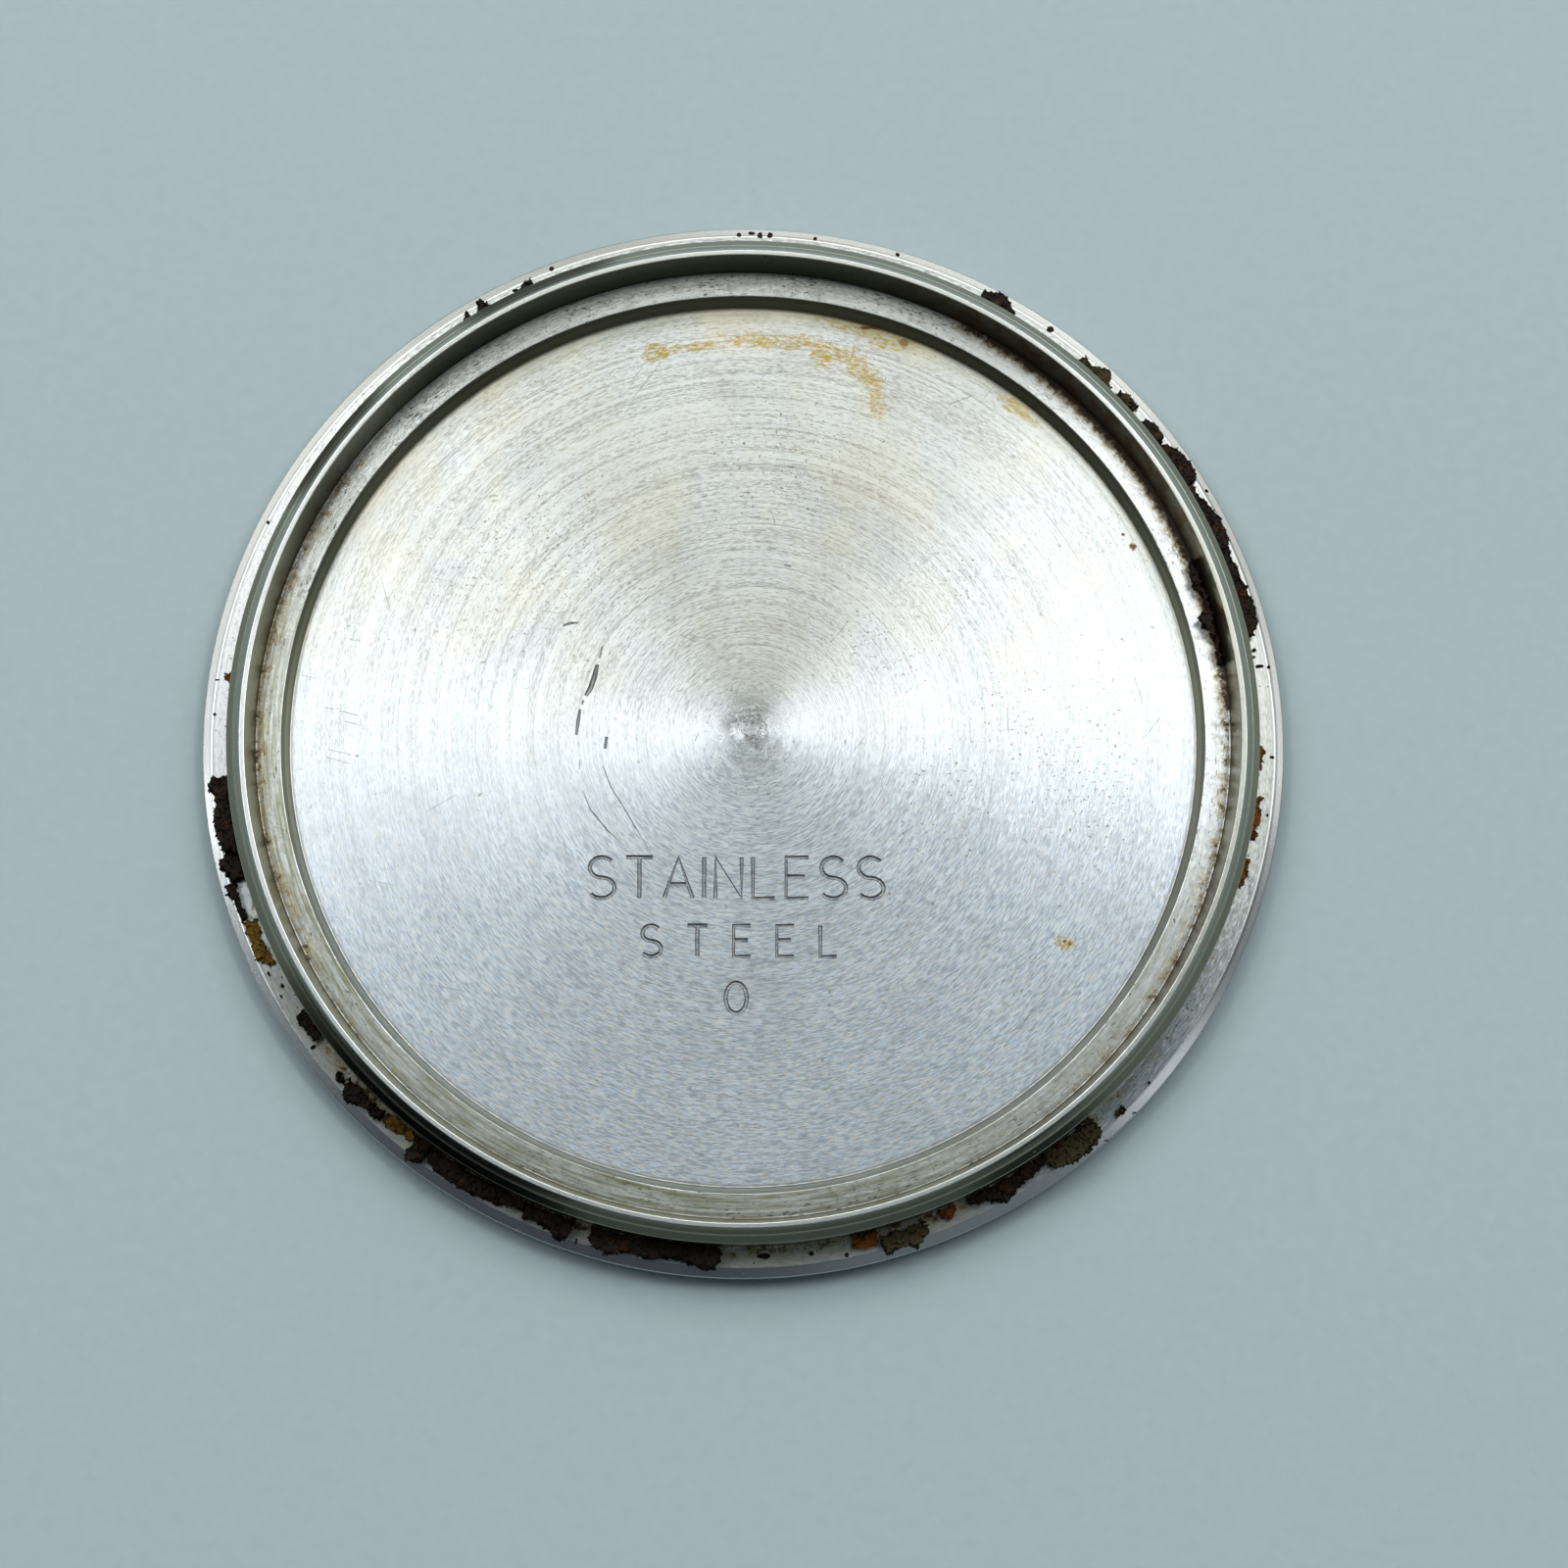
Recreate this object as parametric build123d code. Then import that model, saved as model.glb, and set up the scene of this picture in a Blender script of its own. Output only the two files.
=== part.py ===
from build123d import *
import os
from math import cos, radians, sin, tan

# Press-fit case back of a wristwatch, seen and set with its inner side up, with the torn remains
# of its rubber gasket still stuck to it.
# All lengths are in millimetres. The origin is the middle of the flat outer face, on which the
# case back rests, and +Z points from there to the inside of the watch. Bearings are in degrees,
# anticlockwise from +X, seen from the inside.

# Driving sizes of the steel case back, from the outer edge inwards
outer_radius = 16.25
crown_width = 0.30
flange_width = 0.83
lead_in_width = 0.42
rim_land_width = 0.15
rim_wall_run = 0.25
ledge_width = 0.76
step_run = 0.24
outer_face_radius = 13.0

# Driving heights of the case back
underside_slope = 6.5
edge_height = 0.25
crown_drop = 0.12
floor_thickness = 0.88
step_height = 0.40
rim_wall_height = 0.946
lead_in_height = 0.316
bead_band_height = 0.30
undercut_height = 0.10
undercut_depth = 0.07
neck_lean = 0.03

# The two polished roundings, and the small bevels that the turning tool leaves at the corners
face_rounding = 1.5
crown_rounding = 0.30
lower_edge_bevel = 0.10
edge_bevel = 0.04
corner_bevel = 0.06

# Driving sizes of the gasket that was pressed into the groove under the snap bead
gasket_thickness = 0.45
gasket_clearance = 0.01

# Radii of the section's corners
bead_radius = outer_radius - flange_width
neck_radius = bead_radius - undercut_depth
neck_foot_radius = neck_radius - neck_lean
land_outer_radius = bead_radius - lead_in_width
land_inner_radius = land_outer_radius - rim_land_width
wall_foot_radius = land_inner_radius - rim_wall_run
ledge_radius = wall_foot_radius - ledge_width
floor_radius = ledge_radius - step_run

# Heights of the section's corners above the outer face
underside_z = (outer_radius - outer_face_radius) * tan(radians(underside_slope))
edge_top_z = underside_z + edge_height
seat_z = edge_top_z + crown_drop
ledge_z = floor_thickness + step_height
rim_z = ledge_z + rim_wall_height
bead_top_z = rim_z - lead_in_height
bead_bottom_z = bead_top_z - bead_band_height
neck_top_z = bead_bottom_z - undercut_height

# The gasket lay on the flange, round the neck, and the lump lies inside the rim, both clear of
# the bevel in their corner
gasket_inner_radius = neck_radius + corner_bevel + gasket_clearance
seat_width = outer_radius - gasket_inner_radius
lump_outer_radius = wall_foot_radius - corner_bevel - gasket_clearance

# What is left of the gasket on the flange. Each piece has its first and last bearing, then its
# height as a share of the gasket's thickness, its inner side as a share of the seat's width, and
# its torn outer side as shares of that width at evenly spaced bearings.
remnant_shares = (
    (10.6, 29.1, 0.85, 0.00, (0.15, 0.63, 0.60, 0.51, 0.45, 0.59, 0.67, 0.51, 0.33)),
    (29.5, 35.0, 0.80, 0.00, (0.27, 0.78, 0.72, 0.76, 0.63, 0.33)),
    (35.3, 38.3, 0.65, 0.00, (0.41, 0.62, 0.58, 0.45)),
    (40.0, 42.8, 0.50, 0.33, (0.58, 0.67, 0.61, 0.52)),
    (43.7, 48.6, 0.55, 0.10, (0.39, 0.63, 0.74, 0.55, 0.57, 0.45)),
    (57.3, 61.5, 0.60, 0.10, (0.40, 0.65, 0.78, 0.76, 0.67)),
    (113.3, 115.6, 0.50, 0.15, (0.65, 0.57, 0.45, 0.43)),
    (118.9, 120.5, 0.55, 0.00, (0.40, 0.73, 0.57, 0.35)),
    (121.0, 122.5, 0.45, 0.00, (0.30, 0.62, 0.40, 0.25)),
    (171.2, 172.8, 0.30, 0.00, (0.15, 0.37, 0.33, 0.15)),
    (183.5, 192.1, 0.95, 0.00, (0.60, 0.70, 0.55, 0.69, 0.69, 0.60, 0.52)),
    (192.4, 195.1, 0.80, 0.00, (0.57, 0.78, 0.65, 0.52)),
    (195.4, 199.4, 0.55, 0.42, (0.70, 0.80, 0.67, 0.63, 0.57)),
    (199.7, 205.3, 0.25, 0.10, (0.57, 0.59, 0.63, 0.65, 0.30)),
    (211.4, 214.8, 0.60, 0.00, (0.15, 0.43, 0.35, 0.40)),
    (219.3, 220.7, 0.45, 0.33, (0.45, 0.54, 0.54, 0.35)),
    (221.0, 226.2, 0.75, 0.15, (0.35, 0.76, 0.67, 0.49, 0.52, 0.45)),
    (226.5, 230.5, 0.35, 0.00, (0.30, 0.43, 0.31, 0.25)),
    (230.8, 232.6, 0.85, 0.00, (0.45, 0.88, 0.83, 0.35)),
    (232.9, 244.8, 0.80, 0.00, (0.37, 0.61, 0.64, 0.63, 0.55, 0.52, 0.37, 0.33)),
    (245.1, 250.2, 0.75, 0.00, (0.52, 0.49, 0.53, 0.59, 0.78, 0.35)),
    (252.5, 266.6, 0.95, 0.00, (0.45, 0.70, 0.74, 0.63, 0.57, 0.66, 0.59, 0.52, 0.57, 0.70, 0.78, 0.45)),
    (281.0, 283.8, 0.45, 0.00, (0.30, 0.45, 0.49, 0.45)),
    (284.1, 289.1, 0.80, 0.20, (0.78, 0.86, 0.76, 0.90, 0.82, 0.57)),
    (291.0, 292.8, 0.40, 0.00, (0.15, 0.37, 0.37, 0.20)),
    (294.4, 303.8, 0.70, 0.00, (0.20, 0.33, 0.45, 0.67, 0.63, 0.45, 0.37, 0.35, 0.25)),
    (304.1, 310.7, 0.85, 0.00, (0.52, 0.76, 0.86, 0.86, 0.83, 0.52)),
    (313.0, 314.2, 0.40, 0.48, (0.57, 0.65, 0.63, 0.57)),
    (342.0, 345.5, 0.30, 0.00, (0.15, 0.23, 0.25, 0.15)),
    (347.6, 352.6, 0.35, 0.00, (0.15, 0.25, 0.27, 0.23, 0.28)),
    (356.0, 358.4, 0.30, 0.00, (0.20, 0.20, 0.23, 0.17)),
)

# A lump of gasket that dropped inside and stuck in the corner of the ledge and the rim's wall.
# Its torn inner side is given as shares of the ledge's width, measured inwards from the wall.
lump_first_bearing = 8.0
lump_last_bearing = 21.2
lump_height_share = 0.93
lump_edge_shares = (0.15, 0.24, 0.16, 0.25, 0.39, 0.62, 0.30, 0.24, 0.23, 0.37, 0.33, 0.22, 0.15)


def polar(radius, bearing):
    """Point in the plane of a sketch at a radius and a bearing in degrees."""
    return (radius * cos(radians(bearing)), radius * sin(radians(bearing)))


def evenly_spaced(first, last, count):
    """Bearings from the first to the last in equal steps."""
    return [first + (last - first) * index / (count - 1) for index in range(count)]


def turned_corners():
    """Corners of the half section: radius, height, and the rounding and the bevel of each."""
    return (
        (outer_face_radius, 0, face_rounding, 0),
        (outer_radius, underside_z, 0, lower_edge_bevel),
        (outer_radius, edge_top_z, 0, edge_bevel),
        (outer_radius - crown_width, seat_z, crown_rounding, 0),
        (neck_foot_radius, seat_z, 0, corner_bevel),
        (neck_radius, neck_top_z, 0, 0),
        (bead_radius, bead_bottom_z, 0, 0),
        (bead_radius, bead_top_z, 0, edge_bevel),
        (land_outer_radius, rim_z, 0, edge_bevel),
        (land_inner_radius, rim_z, 0, edge_bevel),
        (wall_foot_radius, ledge_z, 0, corner_bevel),
        (ledge_radius, ledge_z, 0, edge_bevel),
        (floor_radius, floor_thickness, 0, corner_bevel),
    )


def case_back():
    """Steel disc turned from one blank: thin floor, ledge, rim with its snap bead, and flange."""
    corners = turned_corners()
    outline = [(0, 0)] + [(radius, height) for radius, height, _, _ in corners] + [(0, floor_thickness)]
    with BuildPart() as back:
        with BuildSketch(Plane.XZ) as section:
            with BuildLine():
                FilletPolyline(*outline, radius=[rounding for _, _, rounding, _ in corners])
                Line(outline[-1], outline[0])
            make_face()
            for radius, height, _, bevel in corners:
                if bevel:
                    chamfer(section.vertices().sort_by_distance((radius, height)).first, bevel)
        revolve(axis=Axis.Z)
    return back.part


def torn_strip(first, last, smooth_radius, torn_radii, base_z, height):
    """Strip of gasket between a smooth side that follows the steel and a side torn unevenly."""
    torn_bearings = evenly_spaced(first, last, len(torn_radii))
    torn_side = [polar(radius, bearing) for radius, bearing in zip(torn_radii, torn_bearings)]
    smooth_side = [polar(smooth_radius, bearing) for bearing in evenly_spaced(first, last, 3)]
    with BuildPart() as strip:
        with BuildSketch(Plane.XY.offset(base_z)):
            with BuildLine():
                Spline(*torn_side)
                ThreePointArc(*smooth_side)
                Line(smooth_side[0], torn_side[0])
                Line(smooth_side[-1], torn_side[-1])
            make_face()
        extrude(amount=height)
    return strip.part


def flange_remnant(first, last, height_share, inner_share, edge_shares):
    """Remnant of the gasket where it was pressed, on the flange beside the neck."""
    smooth_radius = gasket_inner_radius + inner_share * seat_width
    torn_radii = [gasket_inner_radius + share * seat_width for share in edge_shares]
    return torn_strip(first, last, smooth_radius, torn_radii, seat_z, height_share * gasket_thickness)


def ledge_lump():
    """Lump of gasket that lies on the ledge against the foot of the rim's wall."""
    torn_radii = [wall_foot_radius - share * ledge_width for share in lump_edge_shares]
    height = lump_height_share * gasket_thickness
    return torn_strip(lump_first_bearing, lump_last_bearing, lump_outer_radius, torn_radii, ledge_z, height)


def write(shape, node):
    """Write one piece to its own file."""
    export_step(shape, f"parts/{node}.step")


os.makedirs("parts", exist_ok=True)
write(case_back(), "case_back")
write(ledge_lump(), "ledge_gasket_lump")
for number, shares in enumerate(remnant_shares, start=1):
    write(flange_remnant(*shares), f"gasket_remnant_{number:02d}")
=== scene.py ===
from math import atan2, cos, pi, radians, sin, tan
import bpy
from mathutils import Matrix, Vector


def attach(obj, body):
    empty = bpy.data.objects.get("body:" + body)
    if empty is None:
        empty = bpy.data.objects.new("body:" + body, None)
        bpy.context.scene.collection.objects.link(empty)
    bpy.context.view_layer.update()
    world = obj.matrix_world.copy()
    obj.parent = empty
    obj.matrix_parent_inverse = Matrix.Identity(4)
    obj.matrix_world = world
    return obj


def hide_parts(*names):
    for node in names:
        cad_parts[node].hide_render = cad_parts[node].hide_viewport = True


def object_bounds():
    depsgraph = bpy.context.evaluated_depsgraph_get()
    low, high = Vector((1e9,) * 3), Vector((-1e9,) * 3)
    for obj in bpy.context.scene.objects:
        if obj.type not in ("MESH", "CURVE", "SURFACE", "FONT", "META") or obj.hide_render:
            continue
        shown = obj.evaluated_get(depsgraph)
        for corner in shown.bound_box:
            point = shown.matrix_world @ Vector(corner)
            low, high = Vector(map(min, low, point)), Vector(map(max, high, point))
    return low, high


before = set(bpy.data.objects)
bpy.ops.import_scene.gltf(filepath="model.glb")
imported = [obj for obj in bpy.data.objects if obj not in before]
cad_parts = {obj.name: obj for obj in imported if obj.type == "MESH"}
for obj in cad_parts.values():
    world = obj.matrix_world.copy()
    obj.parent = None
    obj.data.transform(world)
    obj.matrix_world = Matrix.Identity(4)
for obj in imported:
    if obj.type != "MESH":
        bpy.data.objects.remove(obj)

from types import SimpleNamespace

import bpy
from bpy.props import FloatProperty, FloatVectorProperty, IntProperty, PointerProperty
from mathutils import Vector

bl_info = {
    "name": "Watch Case Back",
    "version": (1, 0, 0),
    "blender": (4, 5, 0),
    "location": "3D View > Sidebar > Case Back",
    "description": "Dresses a turned press-fit watch case back and the torn remains of its gasket",
    "category": "Object",
}

# The CAD box, before anything is dressed
CAD_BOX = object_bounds()

# Pieces are shaped in millimetres and brought to metres when they are done
MM = 0.001

# Points closer than this fall together, and so do the corners of a CAD mesh's triangles, in mm
LEAST_STEP = 0.0005
LEAST_CAD_STEP = 0.001

# Steps of the arcs in the stamp, and how far the nicks lean across the edge, in degrees
ARC_STEP = 12
NICK_LEAN = 35

# Width of a scratch at its ends, as a share of its width between them
SCRATCH_TAPER = 0.7

# Share of its depth that rubber keeps where it is pressed against the steel
PRESSED_SHARE = 0.02

# Edges of the steel that turn by more than this stay sharp, in degrees
SHARP_ANGLE = 30

# Setting of a Map Range node that eases in and out
SMOOTH = {"interpolation_type": "SMOOTHSTEP"}

STEEL_NODE = "case_back"
LUMP_NODE = "ledge_gasket_lump"
REMNANT_NODES = sorted(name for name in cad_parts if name.startswith("gasket_remnant_"))

# Finishes of the rubber: material slot, body colour and fringe colour
BLACK_RUBBER = ("gasket_black", "black", "brown")
RUSTY_RUBBER = ("gasket_rust_brown", "rusty", "brown")
GOLDEN_RUBBER = ("gasket_rust_brown", "golden", "black")
OLIVE_RUBBER = ("gasket_olive", "olive", "black")

# Remnants whose rubber has gone to rust, to a golden film, and those that have kept an olive skin
REMNANT_FINISHES = {
    **dict.fromkeys((10, 23, 25, 29, 30, 31), RUSTY_RUBBER),
    **dict.fromkeys((14, 18), GOLDEN_RUBBER),
    **dict.fromkeys((4, 5, 24, 27, 28), OLIVE_RUBBER),
}

# The floor was faced in a second set-up, a little off the middle of the case back, in mm
FACING_CENTRE = (0.24, 0.22, 0.0)
TURNING_CENTRE = (0.0, 0.0, 0.0)

# Surfaces of the case back, in the order of its material slots
SURFACES = ("outer_face", "edge", "flange", "neck", "rim", "land", "wall", "ledge", "step", "floor", "stamp")

# Letters as strokes in shares of their height, with each letter's width. A stroke is a run of
# points, or of ellipse arcs: centre x, centre y, half width, half height, first and last angle.
LETTERS = {
    "S": (0.62, (((0.31, 0.75, 0.28, 0.25, 35, 270), (0.31, 0.25, 0.31, 0.25, 90, -145)),)),
    "T": (0.64, (((0, 1), (0.64, 1)), ((0.32, 1), (0.32, 0)))),
    "A": (0.68, (((0, 0), (0.34, 1), (0.68, 0)), ((0.11, 0.34), (0.57, 0.34)))),
    "I": (0.00, (((0, 1), (0, 0)),)),
    "N": (0.62, (((0, 0), (0, 1), (0.62, 0), (0.62, 1)),)),
    "L": (0.52, (((0, 1), (0, 0), (0.52, 0)),)),
    "E": (0.54, (((0.54, 1), (0, 1), (0, 0), (0.54, 0)), ((0, 0.53), (0.45, 0.53)))),
    "o": (0.68, (((0.34, 0.50, 0.34, 0.50, 90, 450),),)),
}

# Rows of the stamp: letters, their height, the gap between them, and the row's middle, in mm
STAMP_ROWS = (
    ("STAINLESS", 1.25, 0.34, (-0.28, -4.25)),
    ("STEEL", 0.94, 0.78, (-0.22, -6.18)),
    ("o", 0.92, 0.0, (-0.33, -7.90)),
)

# Deep scratches on the floor: width and depth, then points, in mm
FLOOR_SCRATCHES = (
    (0.035, 0.009, ((-3.69, 3.75), (-4.07, 3.27))),
    (0.090, 0.034, ((-4.20, 2.96), (-4.29, 2.58))),
    (0.170, 0.075, ((-4.36, 2.39), (-4.44, 2.04), (-4.57, 1.66), (-4.72, 1.42))),
    (0.090, 0.034, ((-4.79, 1.29), (-4.83, 1.15))),
    (0.120, 0.048, ((-4.89, 1.00), (-4.95, 0.65), (-5.01, 0.21))),
    (0.050, 0.014, ((-4.90, -0.55), (-4.93, -0.85))),
    (0.150, 0.060, ((-4.10, 0.14), (-4.15, -0.23))),
    (0.090, 0.028, ((-5.39, 3.62), (-5.16, 3.69), (-4.92, 3.70))),
    (0.050, 0.014, ((-2.15, 3.69), (-2.00, 3.79))),
    (0.040, 0.010, ((-1.88, 3.30), (-1.39, 3.04))),
    (0.050, 0.014, ((-1.46, -0.03), (-1.33, 0.21))),
    (0.040, 0.010, ((-4.84, -1.50), (-4.60, -2.10), (-4.10, -2.75), (-3.50, -3.30))),
    (0.034, 0.010, ((-4.22, -0.75), (-3.99, -1.40), (-3.41, -2.41), (-2.90, -3.30))),
    (0.040, 0.010, ((-12.58, 1.20), (-12.25, 1.12))),
    (0.055, 0.014, ((-12.10, 1.07), (-11.55, 0.92))),
    (0.055, 0.014, ((-11.96, 0.75), (-11.55, 0.64))),
    (0.040, 0.010, ((-12.45, -0.11), (-11.78, -0.29))),
    (0.040, 0.010, ((-12.51, -0.36), (-11.78, -0.57))),
    (0.035, 0.009, ((-9.54, -2.10), (-8.61, -1.56))),
    (0.100, 0.030, ((1.30, 5.42), (1.52, 5.36))),
    (0.035, 0.009, ((2.66, 2.95), (3.23, 3.62))),
    (0.040, 0.012, ((7.95, 0.86), (7.96, 0.07))),
    (0.040, 0.012, ((8.75, 2.00), (8.92, 1.88))),
    (0.045, 0.013, ((6.41, 10.41), (7.14, 10.68))),
)

# Nicks in the flange's edge: bearing in degrees, then radius, height, length and width in mm
EDGE_NICKS = (
    (308.2, 16.20, 0.74, 0.20, 0.06),
    (310.5, 16.26, 0.66, 0.10, 0.08),
    (314.7, 16.25, 0.68, 0.12, 0.08),
)

# Crumbs of gasket: bearing in degrees, then radius, width and length in mm
CRUMBS = (
    (7.3, 16.00, 0.10, 0.12), (7.5, 15.72, 0.24, 0.12), (8.6, 15.60, 0.16, 0.10), (9.4, 15.66, 0.14, 0.12),
    (28.2, 16.10, 0.10, 0.12), (53.2, 16.00, 0.20, 0.22), (72.0, 16.10, 0.08, 0.12),
    (81.2, 16.05, 0.08, 0.10), (86.2, 16.02, 0.18, 0.16), (87.3, 16.00, 0.20, 0.18),
    (88.2, 16.08, 0.08, 0.20), (89.6, 16.02, 0.10, 0.14), (110.6, 16.04, 0.14, 0.16),
    (153.8, 15.95, 0.10, 0.10), (172.3, 15.92, 0.16, 0.05), (176.2, 15.92, 0.12, 0.08),
    (206.0, 15.80, 0.07, 0.16), (207.9, 15.62, 0.10, 0.14), (208.8, 15.80, 0.06, 0.12),
    (215.4, 15.81, 0.20, 0.10), (251.2, 15.95, 0.20, 0.07), (271.4, 15.62, 0.16, 0.42),
    (276.5, 15.66, 0.12, 0.14), (280.2, 15.87, 0.13, 0.12), (318.1, 15.93, 0.10, 0.10),
    (350.7, 15.87, 0.08, 0.10), (357.2, 15.90, 0.14, 0.08),
)

# Stains on the floor, as ellipses: middle x and y, half length and half width in mm, and turn in
# degrees. First where oil has dried, then where small dots of grime crowd, then freckles of rust
GOLD_STAINS = (
    (1.2, 12.5, 1.3, 0.20, -6), (2.7, 12.1, 0.8, 0.34, -28), (3.8, 11.5, 0.8, 0.40, -52),
    (4.25, 10.7, 0.7, 0.26, -78), (-1.6, 12.35, 1.1, 0.14, 4), (-2.5, 12.2, 0.4, 0.26, -8),
    (4.2, 12.75, 0.9, 0.36, -16), (8.4, 10.35, 0.7, 0.20, -42), (3.4, 13.0, 1.0, 0.2, -14),
    (5.08, 12.4, 0.5, 0.25, -20), (9.5, -6.4, 0.26, 0.20, 0),
)
DUSTY_PLACES = (
    (8.6, -7.1, 0.9, 0.35, 0), (9.6, -6.6, 0.6, 0.4, 0), (8.1, -7.7, 0.5, 0.3, 0), (4.4, -5.0, 0.35, 0.6, 0),
    (0.6, -2.3, 0.35, 0.3, 0), (7.6, -8.3, 0.3, 0.25, 0), (11.3, 6.6, 0.3, 0.9, 0), (6.0, 5.2, 1.6, 1.2, 0),
    (8.2, 0.6, 1.8, 1.8, 0), (6.0, -2.0, 1.4, 1.8, 0), (-4.0, 2.0, 0.6, 0.6, 0), (4.0, 3.2, 2.4, 1.6, 0),
    (-6.5, 5.5, 3.0, 2.4, 0), (1.5, 8.5, 3.0, 1.8, 0), (10.2, -1.0, 1.6, 3.4, 0),
)
RUST_FRECKLES = (
    (5.08, 12.42, 0.16, 0.12, 0), (4.2, 12.9, 0.5, 0.06, 0), (11.88, 5.82, 0.11, 0.11, 0),
    (11.6, 6.2, 0.05, 0.05, 0), (9.46, -6.34, 0.06, 0.04, 0), (9.62, -6.42, 0.04, 0.05, 0),
)

# Softboxes: name, place, width and height in metres, setting of the brightness, and tint
SOFTBOXES = (
    ("softbox_left", (-0.26, 0.165, 0.42), 0.34, 0.18, "side_light", "F9FAFC"),
    ("softbox_right", (0.235, 0.16, 0.42), 0.29, 0.20, "side_light", "F9FAFC"),
    ("softbox_far", (0.0, 0.36, 0.40), 0.50, 0.16, "far_light", "FDFEFA"),
    ("softbox_strip", (0.36, -0.16, 0.38), 0.10, 0.20, "strip_light", "F6FAFF"),
)

# Colours of the room: its dim side and its lit side, then low down on the near side and elsewhere
DIM_SIDE, LIT_SIDE, LOW_NEAR_SIDE, LOW_ELSEWHERE = "768084", "FFFFFA", "646C64", "A4B0A6"

# Dark shapes in the room, which the lead-in cone and the crown mirror: bearing, elevation and half
# angle in degrees, and colour. Their edges are as soft as the last number says, also in degrees
DARK_SHAPES = ((225, 24, 17, "16191C"), (312, 24, 7, "16191C"), (239, 57, 21, "485056"))
SHAPE_SOFTNESS = 4

# Width of the camera's sensor, in mm, and the nearest and furthest that it sees, in metres
SENSOR_WIDTH = 36
CAMERA_REACH = (0.01, 10)


# Settings


def linear(code):
    """Linear colour of an sRGB hex code such as 'A0B0C0'."""
    shares = [int(code[at:at + 2], 16) / 255 for at in (0, 2, 4)]
    return [s / 12.92 if s <= 0.04045 else ((s + 0.055) / 1.055) ** 2.4 for s in shares] + [1.0]


def colour(name, description, code):
    """Colour setting for the sidebar, with an sRGB hex code as its default."""
    return FloatVectorProperty(name=name, description=description, subtype="COLOR", size=4, min=0, max=1,
                               default=linear(code))


def length(name, description, default):
    """Length setting for the sidebar, in mm."""
    return FloatProperty(name=name, description=f"{description}, in mm", default=default, min=0, precision=3)


class CaseBackSizes(bpy.types.PropertyGroup):
    """Sizes of the turned steel part, in mm."""
    outer_radius: length("Outer radius", "Radius over the flange", CAD_BOX[1].x / MM)
    rim_height: length("Height", "Height of the rim above the outer face", CAD_BOX[1].z / MM)
    outer_face_radius: length("Outer face radius", "Radius of the flat part of the outer face", 13.0)
    underside_height: length("Underside height", "Height where the underside ends", 0.370)
    edge_height: length("Edge height", "Height of the top of the flange's edge", 0.620)
    flange_height: length("Flange height", "Height of the flange's seat", 0.740)
    crown_width: length("Crown width", "Width of the rounding between seat and edge", 0.30)
    neck_foot_radius: length("Neck foot radius", "Radius of the neck where it meets the seat", 15.32)
    neck_radius: length("Neck radius", "Radius of the neck under the snap bead", 15.35)
    neck_top: length("Neck top", "Height of the top of the neck", 1.51)
    bead_radius: length("Bead radius", "Radius over the snap bead", 15.42)
    bead_bottom: length("Bead bottom", "Height of the bottom of the snap bead", 1.61)
    bead_top: length("Bead top", "Height of the top of the snap bead", 1.91)
    land_outer_radius: length("Land outer radius", "Outer radius of the rim's land", 15.0)
    land_inner_radius: length("Land inner radius", "Inner radius of the rim's land", 14.85)
    wall_foot_radius: length("Wall foot radius", "Radius of the foot of the inner wall", 14.6)
    ledge_height: length("Ledge height", "Height of the ledge", 1.28)
    ledge_radius: length("Ledge radius", "Inner radius of the ledge", 13.84)
    floor_radius: length("Floor radius", "Radius of the floor", 13.6)
    floor_height: length("Floor height", "Thickness of the floor", 0.88)
    tool_line_radius: length("Tool line radius", "Radius of the line on the lead-in cone", 15.2)
    tool_line_width: length("Tool line width", "Width of the line on the lead-in cone", 0.05)
    tool_line_depth: length("Tool line depth", "Depth of the line on the lead-in cone", 0.018)
    face_rounding: length("Face rounding", "Rounding between outer face and underside", 1.5)
    crown_rounding: length("Crown rounding", "Rounding between seat and edge", 0.30)
    lower_edge_rounding: length("Lower edge rounding", "Rounding of the flange's lower edge", 0.10)
    edge_rounding: length("Edge rounding", "Wear of the turned edges", 0.04)
    corner_rounding: length("Corner rounding", "Radius of the tool's nose", 0.06)
    holding_width: length("Holding width", "Most that a holding ring stands off a rounding", 0.02)
    stamp_width: length("Stamp width", "Width of the stamped strokes", 0.135)
    stamp_depth: length("Stamp depth", "Depth of the stamped strokes", 0.050)
    stamp_grain: length("Stamp grain", "Grain of the stamped strokes' skin", 0.016)
    stamp_turn: FloatProperty(name="Stamp turn", description="Turn of the stamp's rows", subtype="ANGLE",
                              default=radians(-1.0))
    segments: IntProperty(name="Segments", description="Steps round the turned part", default=360, min=24)


class GasketSizes(bpy.types.PropertyGroup):
    """Sizes that shape the crust of the perished rubber, in mm."""
    grain: length("Grain", "Size of the crust's smallest lumps", 0.028)
    crust: length("Crust", "Depth of the crust's pits and lumps", 0.10)
    crust_length: length("Crust length", "Length of the pits and lumps", 0.13)
    tear: length("Tear", "Depth of the tears along the torn side", 0.30)
    tear_length: length("Tear length", "Length of the tears along the torn side", 0.22)
    crumb_height: length("Crumb height", "Height of the loose crumbs", 0.07)
    contact: length("Contact", "Depth to which the rubber has sunk in the tool marks", 0.003)


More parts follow.
